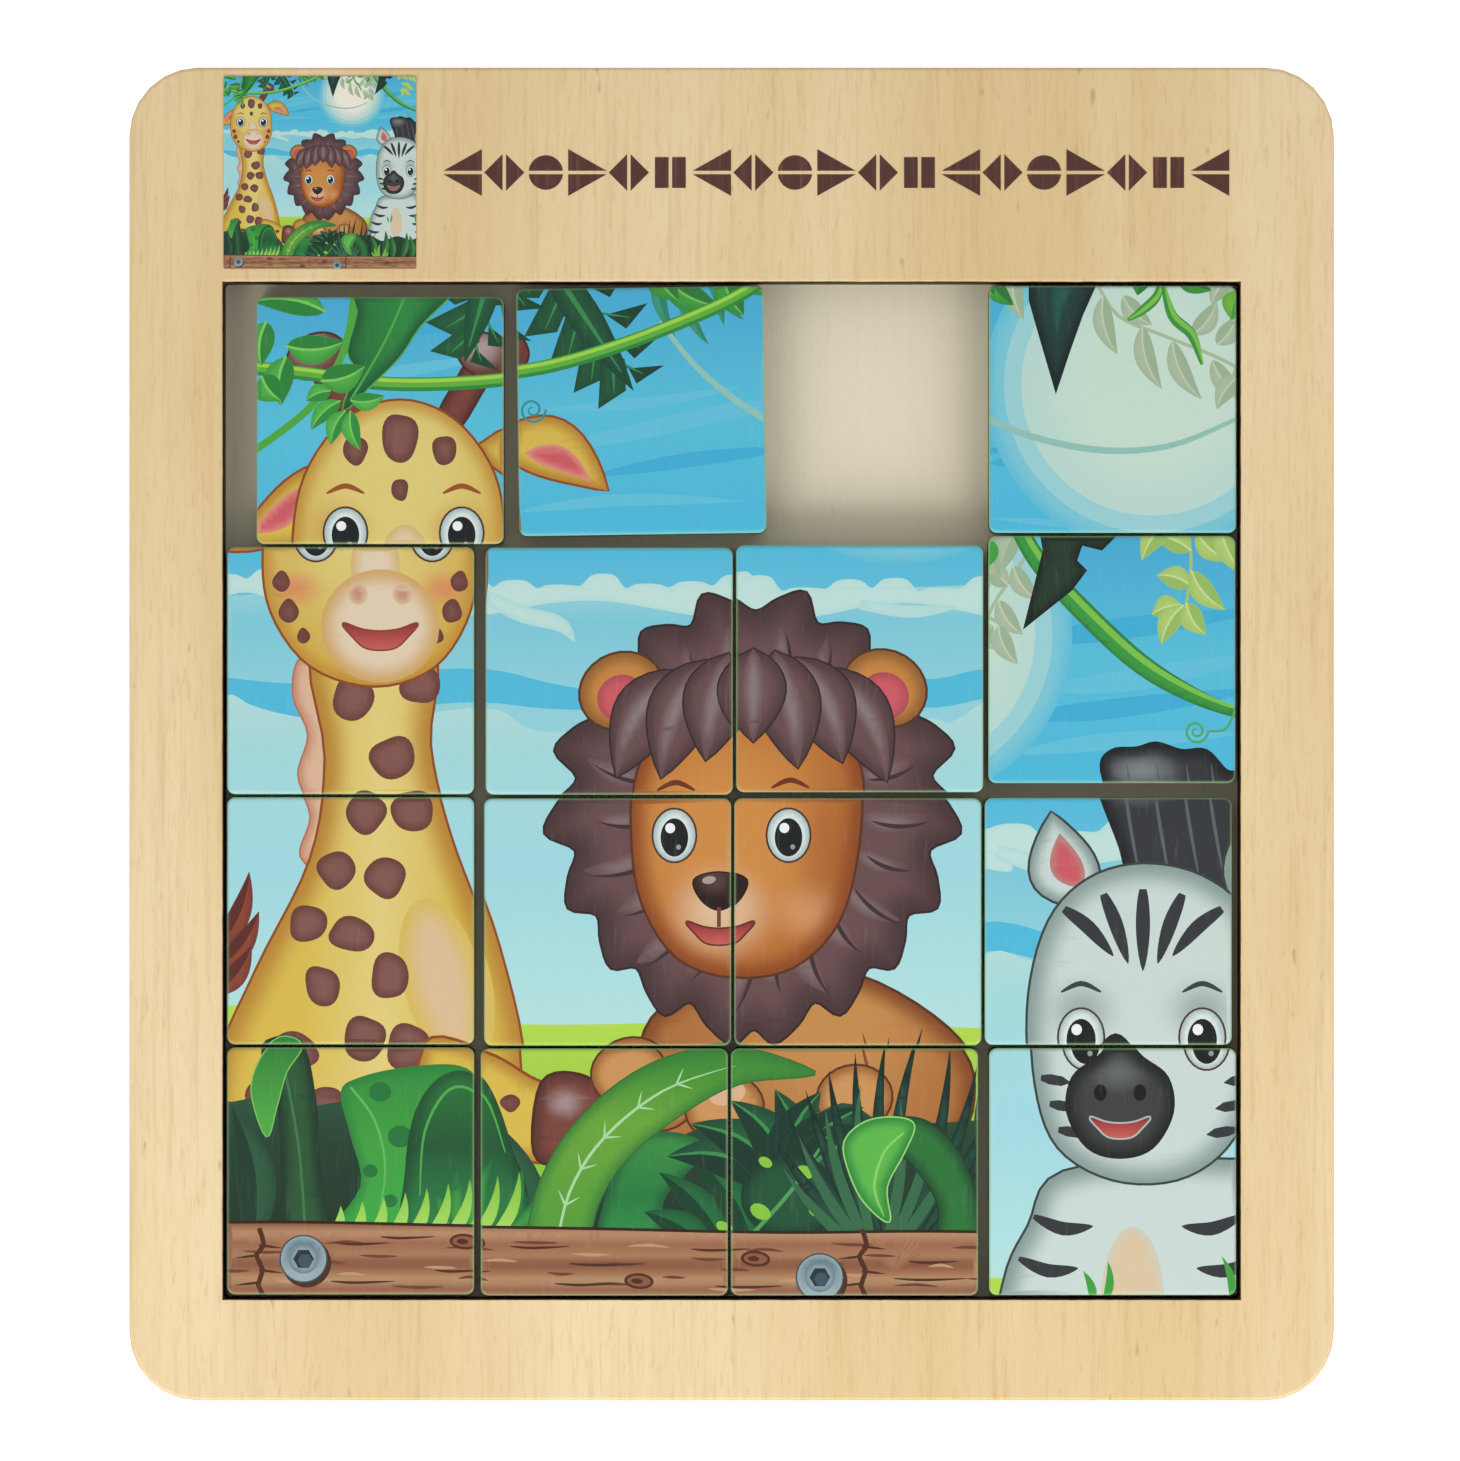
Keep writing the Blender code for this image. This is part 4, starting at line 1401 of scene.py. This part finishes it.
def paint_faces(drawing, centres):
    """The number of the uppermost layer at each face's centre."""
    chosen = np.zeros(len(centres), int)
    for number, (outline, _) in enumerate(drawing.layers):
        low, high = outline.min(axis=0), outline.max(axis=0)
        near = np.all((centres >= low) & (centres <= high), axis=1)
        if near.any():
            where = np.flatnonzero(near)
            chosen[where[inside(outline, centres[where])]] = number
    return chosen


def picture_mesh(name, drawing, corner_place, span, half, corner, rim, skirt, pitch, rim_highlight):
    """A printed plate: the part of the picture from corner_place on, span tiles wide.

    The plate lies about the origin with its top at height 0, rounds over at its rim and goes
    down by the rim and the skirt.
    """
    scale = 2 * half / span
    inner = [rim * (1 - math.cos(angle)) for angle in (0.0, 0.55, 0.85, 1.2, math.pi / 2)]
    rings = [rounded_square(half - inset, corner - inset) for inset in inner]

    def to_plate(places):
        """From tiles in the picture to metres on the plate."""
        return np.column_stack([
            (places[:, 0] - corner_place[0]) * scale - half,
            half - (places[:, 1] - corner_place[1]) * scale,
        ])

    def to_picture(places):
        """From metres on the plate to tiles in the picture."""
        return np.column_stack([
            (places[:, 0] + half) / scale + corner_place[0],
            (half - places[:, 1]) / scale + corner_place[1],
        ])

    points, edges = [], []

    def add_loop(loop):
        """A closed line that the plate's faces keep to."""
        first = len(points)
        points.extend(loop)
        edges.extend((first + place, first + (place + 1) % len(loop)) for place in range(len(loop)))

    for ring in rings:
        add_loop(ring)
    for outline, _ in drawing.layers:
        loop = to_plate(outline)
        if np.all(loop.max(axis=0) > -half) and np.all(loop.min(axis=0) < half):
            add_loop(loop)
    steps = max(int(2 * half / pitch), 2)
    for row in range(1, steps):
        for column in range(1, steps):
            points.append(((column / steps * 2 - 1) * half, (row / steps * 2 - 1) * half))

    unit = 1 / half
    flat_points = [Vector((x * unit, y * unit)) for x, y in points]
    made = delaunay_2d_cdt(flat_points, edges, [], 0, 1e-5)
    spots = np.array([tuple(vert) for vert in made[0]]) * half
    faces = np.array(made[2])
    centres = spots[faces].mean(axis=1)
    faces = faces[depth_inside(centres, half, corner) > 0]
    chosen = paint_faces(drawing, to_picture(spots[faces].mean(axis=1)))
    corners = to_picture(spots[faces.ravel()])
    colours = np.zeros((len(corners), 3))
    layer_of_corner = np.repeat(chosen, 3)
    for number in np.unique(chosen):
        where = layer_of_corner == number
        outline, paint = drawing.layers[number]
        colours[where] = paint(corners[where], outline)

    # Painted highlight: near the rounded edge the colours turn up to 0.6 of the way to the rim colour,
    # standing in for light caught on the rim
    rim_highlight_share = 0.6 * (1 - smooth(depth_inside(spots[faces.ravel()], half, corner) / (0.75 * rim)))
    colours = colours * (1 - rim_highlight_share)[:, None] + np.array(rim_highlight) * rim_highlight_share[:, None]
    depth = np.clip(depth_inside(spots, half, corner), 0, rim)
    heights = np.sqrt(np.maximum(rim ** 2 - (rim - depth) ** 2, 0)) - rim
    return plate_mesh(name, spots, heights, faces, colours, -rim - skirt)


def plate_mesh(name, spots, heights, faces, colours, bottom):
    """Close the painted top with a skirt and an underside, and keep its inks."""
    used = np.unique(faces)
    renumber = np.full(len(spots), -1)
    renumber[used] = np.arange(len(used))
    mesh = bpy.data.meshes.new(name)
    top = [(spots[v][0], spots[v][1], heights[v]) for v in used]
    mesh.from_pydata(top, [], renumber[faces].tolist())
    ink = mesh.color_attributes.new("ink", "FLOAT_COLOR", "CORNER")
    ink.data.foreach_set("color", np.column_stack([colours, np.ones(len(colours))]).ravel())
    edited = bmesh.new()
    edited.from_mesh(mesh)
    bmesh.ops.recalc_face_normals(edited, faces=edited.faces)
    for face in edited.faces:
        face.smooth = True
    border = [edge for edge in edited.edges if edge.is_boundary]
    grown_out = bmesh.ops.extrude_edge_only(edited, edges=border)["geom"]
    lower = [item for item in grown_out if isinstance(item, bmesh.types.BMVert)]
    for vert in lower:
        vert.co.z = bottom
    for face in (item for item in grown_out if isinstance(item, bmesh.types.BMFace)):
        face.material_index = 1
    closing = [item for item in grown_out if isinstance(item, bmesh.types.BMEdge) and item.is_boundary]
    for face in bmesh.ops.contextual_create(edited, geom=closing)["faces"]:
        face.material_index = 1
    bmesh.ops.recalc_face_normals(edited, faces=edited.faces)
    edited.to_mesh(mesh)
    edited.free()
    return mesh


def block_mesh(name, half, corner, height, foot):
    """A wooden block with softened bottom edges, its foot at height 0."""
    edited = bmesh.new()
    verts = [edited.verts.new((x, y, height)) for x, y in rounded_square(half, corner)]
    top = edited.faces.new(verts)
    side = bmesh.ops.extrude_face_region(edited, geom=[top])["geom"]
    bottom = [item for item in side if isinstance(item, bmesh.types.BMVert)]
    for vert in bottom:
        vert.co.z = 0.0
    under = [edge for edge in edited.edges if all(abs(vert.co.z) < 1e-7 for vert in edge.verts)]
    bmesh.ops.bevel(edited, geom=under, offset=foot, segments=2, profile=0.5, affect="EDGES")
    return mesh_from(edited, name)


def mesh_from(edited, name):
    """A new mesh from an edited one, with its faces turned outwards."""
    bmesh.ops.recalc_face_normals(edited, faces=edited.faces)
    mesh = bpy.data.meshes.new(name)
    edited.to_mesh(mesh)
    edited.free()
    return mesh


def place_piece(name, mesh, location, turn, body, materials, replaced):
    """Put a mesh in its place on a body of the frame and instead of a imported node."""
    piece = bpy.data.objects.new(name, mesh)
    bpy.context.scene.collection.objects.link(piece)
    piece.location = location
    piece.rotation_euler.z = turn
    for material in materials:
        mesh.materials.append(material)
    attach(piece, body)
    if replaced:
        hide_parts(replaced)
    return piece


def tile_place(name):
    """A tile's centre, underside, top, width and turn, from its packed block and print."""
    low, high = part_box(f"{name}_block")
    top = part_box(f"{name}_print")[1].z
    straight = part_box("tile_01_block")
    width = straight[1].x - straight[0].x
    turn = turn_of_block(name) if name == TURNED_TILE else 0.0
    return (low + high) / 2, low.z, top, width, turn


def turn_of_block(name):
    """A block's turn about Z, from the direction of its longest side edge."""
    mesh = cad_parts[name + "_block"].data
    runs = [
        mesh.vertices[b].co - mesh.vertices[a].co
        for a, b in (edge.vertices for edge in mesh.edges)
    ]
    level = [run for run in runs if abs(run.z) < 1e-6 and abs(run.y) < 0.2 * abs(run.x)]
    longest = max(level, key=lambda run: run.length)
    return math.atan(longest.y / longest.x)


# ---------------------------------------------------------------- operators


class PUZZLE_OT_boards(bpy.types.Operator):
    """Give the base board and the frame board bare plywood, with a scorched window"""

    bl_idname = "puzzle.boards"
    bl_label = "Plywood Boards"

    def execute(self, context):
        finish = context.scene.puzzle_tray
        base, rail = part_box("base_board"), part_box("frame_board")
        hole = window_of_frame()
        base_ply = (base[1].z - base[0].z) / BASE_PLIES
        frame_ply = (rail[1].z - rail[0].z) / FRAME_PLIES
        dress("base_board", plywood_material("base_plywood", finish, base[0].z, base_ply, None))
        dress("frame_board", plywood_material("frame_plywood", finish, rail[0].z, frame_ply, hole))
        return {"FINISHED"}


def window_of_frame():
    """The lowest and highest corner of the frame board's window, from its upright walls."""
    low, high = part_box("frame_board")
    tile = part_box("tile_01_block")
    margin = (tile[1].x - tile[0].x) / 10
    inner = [
        vert.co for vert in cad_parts["frame_board"].data.vertices
        if low.x + margin < vert.co.x < high.x - margin and low.y + margin < vert.co.y < high.y - margin
    ]
    middle = (low.z + high.z) / 2
    nearest = min(abs(place.z - middle) for place in inner)
    wall = [place for place in inner if abs(place.z - middle) < nearest + 0.01 * MM]
    return (
        (min(place.x for place in wall), min(place.y for place in wall)),
        (max(place.x for place in wall), max(place.y for place in wall)),
    )


def dress(node_name, material):
    """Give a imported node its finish."""
    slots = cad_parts[node_name].data.materials
    slots.clear()
    slots.append(material)


class PUZZLE_OT_blocks(bpy.types.Operator):
    """Build the fifteen wooden tile blocks with painted sides"""

    bl_idname = "puzzle.blocks"
    bl_label = "Tile Blocks"

    def execute(self, context):
        finish = context.scene.puzzle_tiles
        paint = paint_material(finish)
        for name in TILE_CELLS:
            centre, low, top, width, turn = tile_place(name)
            height = top - finish.rim - finish.skirt - low
            mesh = block_mesh(f"{name}_wood", width / 2, finish.corner, height, finish.foot)
            place_piece(
                f"{name}_wood", mesh, (centre.x, centre.y, low), turn, name,
                [paint], f"{name}_block",
            )
        return {"FINISHED"}


class PUZZLE_OT_pictures(bpy.types.Operator):
    """Print the jungle picture on the tiles, each with its own cell"""

    bl_idname = "puzzle.pictures"
    bl_label = "Tile Pictures"

    def execute(self, context):
        finish = context.scene.puzzle_tiles
        drawing = jungle_picture(context.scene.puzzle_picture)
        materials = [print_material(), paint_material(finish)]
        for name, (row, column) in TILE_CELLS.items():
            centre, _, top, width, turn = tile_place(name)
            mesh = picture_mesh(
                f"{name}_picture", drawing, (column - 1, row - 1), 1, width / 2, finish.corner,
                finish.rim, finish.skirt, finish.shading_pitch, finish.rim_highlight,
            )
            place_piece(
                f"{name}_picture", mesh, (centre.x, centre.y, top), turn, name,
                materials, f"{name}_print",
            )
        return {"FINISHED"}


class PUZZLE_OT_preview(bpy.types.Operator):
    """Print the whole picture small on the top rail"""

    bl_idname = "puzzle.preview"
    bl_label = "Preview Print"

    def execute(self, context):
        inks = context.scene.puzzle_picture
        drawing = jungle_picture(inks, inks.small_sun)
        low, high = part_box("preview_print")
        rail_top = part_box("frame_board")[1].z
        half = (high.x - low.x) / 2
        mesh = picture_mesh(
            "preview_picture", drawing, (0, 0), CELLS, half, PREVIEW_CORNER, PREVIEW_RIM,
            PREVIEW_SKIRT, 2 * half / PREVIEW_STEPS, PREVIEW_RIM_HIGHLIGHT,
        )
        centre = (low + high) / 2
        place_piece(
            "preview_picture", mesh, (centre.x, centre.y, rail_top + PREVIEW_TOP), 0.0, TRAY,
            [print_material(), print_material()], "preview_print",
        )
        return {"FINISHED"}


class PUZZLE_OT_ornaments(bpy.types.Operator):
    """Stencil a row of plain ornaments on the top rail"""

    bl_idname = "puzzle.ornaments"
    bl_label = "Rail Ornaments"

    def execute(self, context):
        finish = context.scene.puzzle_ornaments
        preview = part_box("preview_print")
        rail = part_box("frame_board")
        window_right = window_of_frame()[1][0]
        left = preview[1].x + BEFORE_ORNAMENTS
        right = window_right - AFTER_ORNAMENTS
        pitch = (right - left) / finish.count
        middle = (preview[0].y + preview[1].y) / 2
        edited = bmesh.new()
        for number in range(finish.count):
            centre = left + (number + 0.5) * pitch
            for outline in ornament(number, finish.height / 2, finish.stencil_gap):
                verts = [edited.verts.new((centre + x, middle + y, 0.0)) for x, y in outline]
                face = edited.faces.new(verts)
                raised = bmesh.ops.extrude_face_region(edited, geom=[face])["geom"]
                for item in raised:
                    if isinstance(item, bmesh.types.BMVert):
                        item.co.z = finish.thickness
        mesh = mesh_from(edited, "rail_ornaments")
        place_piece(
            "rail_ornaments", mesh, (0, 0, rail[1].z - finish.thickness / 4), 0.0, TRAY,
            [ink_material(finish)], None,
        )
        return {"FINISHED"}


def ornament(number, half, gap):
    """The outlines of one ornament: discs, diamonds, squares and arrowheads with a stencil bridge."""
    bridge = gap / 2
    wide = 0.82 * half
    kind = number % 6
    if kind in (0, 3):
        way = 1 if kind else -1
        upper = [(way * -wide, bridge), (way * -wide, half), (way * wide, bridge)]
        lower = [(way * -wide, -bridge), (way * wide, -bridge), (way * -wide, -half)]
        return [upper, lower]
    if kind in (1, 4):
        size = 0.86 * half
        return [
            [(-size, 0.0), (-bridge, -size + bridge), (-bridge, size - bridge)],
            [(size, 0.0), (bridge, size - bridge), (bridge, -size + bridge)],
        ]
    if kind == 2:
        size = 0.74 * half
        start = math.asin(bridge / size)
        arcs = []
        for side in (0, math.pi):
            steps = [start + (math.pi - 2 * start) * step / 12 + side for step in range(13)]
            arcs.append([(size * math.cos(angle), size * math.sin(angle)) for angle in steps])
        return arcs
    size = 0.66 * half
    return [
        [(-size, -size), (-bridge, -size), (-bridge, size), (-size, size)],
        [(bridge, -size), (size, -size), (size, size), (bridge, size)],
    ]


class PUZZLE_OT_stage(bpy.types.Operator):
    """Set the pale floor, the soft studio light and the camera"""

    bl_idname = "puzzle.stage"
    bl_label = "Stage"

    def execute(self, context):
        setting = context.scene.puzzle_stage
        context.scene.view_settings.view_transform = "Standard"
        self.add_floor(context, setting)
        self.add_lights(context, setting)
        self.add_camera(context, setting)
        return {"FINISHED"}

    def add_floor(self, context, setting):
        """A plain floor that glows a little, so that it stays even."""
        bpy.ops.mesh.primitive_plane_add(size=FLOOR_SIZE, location=(0, 0, -FLOOR_DROP))
        floor = context.object
        floor.name = "floor"
        made, _, shader = new_material("pale_floor")
        shader.inputs["Base Color"].default_value = (*setting.floor, 1.0)
        set_surface(shader, 0.9, 0.1)
        shader.inputs["Emission Color"].default_value = (*setting.floor, 1.0)
        shader.inputs["Emission Strength"].default_value = setting.floor_glow
        floor.data.materials.append(made)

    def add_lights(self, context, setting):
        """Even light from all round, and two soft lamps in front."""
        world = bpy.data.worlds.new("even_light")
        world.use_nodes = True
        background = world.node_tree.nodes["Background"]
        background.inputs["Color"].default_value = (1.0, 1.0, 1.0, 1.0)
        background.inputs["Strength"].default_value = setting.sky_light
        context.scene.world = world
        for name, place in LAMP_PLACES.items():
            lamp = bpy.data.lights.new(name, "AREA")
            lamp.energy = setting.lamp_power
            lamp.size = LAMP_SIZE
            light = bpy.data.objects.new(name, lamp)
            light.location = place
            light.rotation_euler = (-Vector(place)).to_track_quat("-Z", "Y").to_euler()
            context.scene.collection.objects.link(light)

    def add_camera(self, context, setting):
        """A camera straight above the tray, with the view's width in view at the tray's top."""
        lens = bpy.data.cameras.new("camera")
        lens.sensor_width = 36.0
        top = CAD_BOX[1][2]
        lens.lens = lens.sensor_width * (setting.camera_height - top) / setting.view_width
        lens.clip_start = 0.05
        camera = bpy.data.objects.new("camera", lens)
        camera.location = (*CAMERA_SHIFT, setting.camera_height)
        context.scene.collection.objects.link(camera)
        context.scene.camera = camera


class PUZZLE_PT_panel(bpy.types.Panel):
    """The steps that dress the puzzle, in order"""

    bl_label = "Sliding Tile Puzzle"
    bl_idname = "PUZZLE_PT_panel"
    bl_space_type = "VIEW_3D"
    bl_region_type = "UI"
    bl_category = "Puzzle"

    def draw(self, context):
        for operator in OPERATORS:
            self.layout.operator(operator.bl_idname)
        for holder in SETTINGS:
            group = getattr(context.scene, holder)
            box = self.layout.box()
            for name in group.bl_rna.properties.keys():
                if name not in ("rna_type", "name"):
                    box.prop(group, name)


SETTINGS = {
    "puzzle_tray": TrayFinish,
    "puzzle_tiles": TileFinish,
    "puzzle_picture": PictureColours,
    "puzzle_ornaments": OrnamentFinish,
    "puzzle_stage": StageSetting,
}
OPERATORS = (
    PUZZLE_OT_boards,
    PUZZLE_OT_blocks,
    PUZZLE_OT_pictures,
    PUZZLE_OT_preview,
    PUZZLE_OT_ornaments,
    PUZZLE_OT_stage,
)


def register():
    """Add the settings, the steps and the panel to Blender."""
    for holder, settings in SETTINGS.items():
        bpy.utils.register_class(settings)
        setattr(bpy.types.Scene, holder, PointerProperty(type=settings))
    for operator in OPERATORS:
        bpy.utils.register_class(operator)
    bpy.utils.register_class(PUZZLE_PT_panel)


def unregister():
    """Take the panel, the steps and the settings out again."""
    bpy.utils.unregister_class(PUZZLE_PT_panel)
    for operator in reversed(OPERATORS):
        bpy.utils.unregister_class(operator)
    for holder, settings in reversed(list(SETTINGS.items())):
        delattr(bpy.types.Scene, holder)
        bpy.utils.unregister_class(settings)


def main():
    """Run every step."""
    register()
    bpy.ops.puzzle.boards()
    bpy.ops.puzzle.blocks()
    bpy.ops.puzzle.pictures()
    bpy.ops.puzzle.preview()
    bpy.ops.puzzle.ornaments()
    bpy.ops.puzzle.stage()


if __name__ == "__main__":
    main()
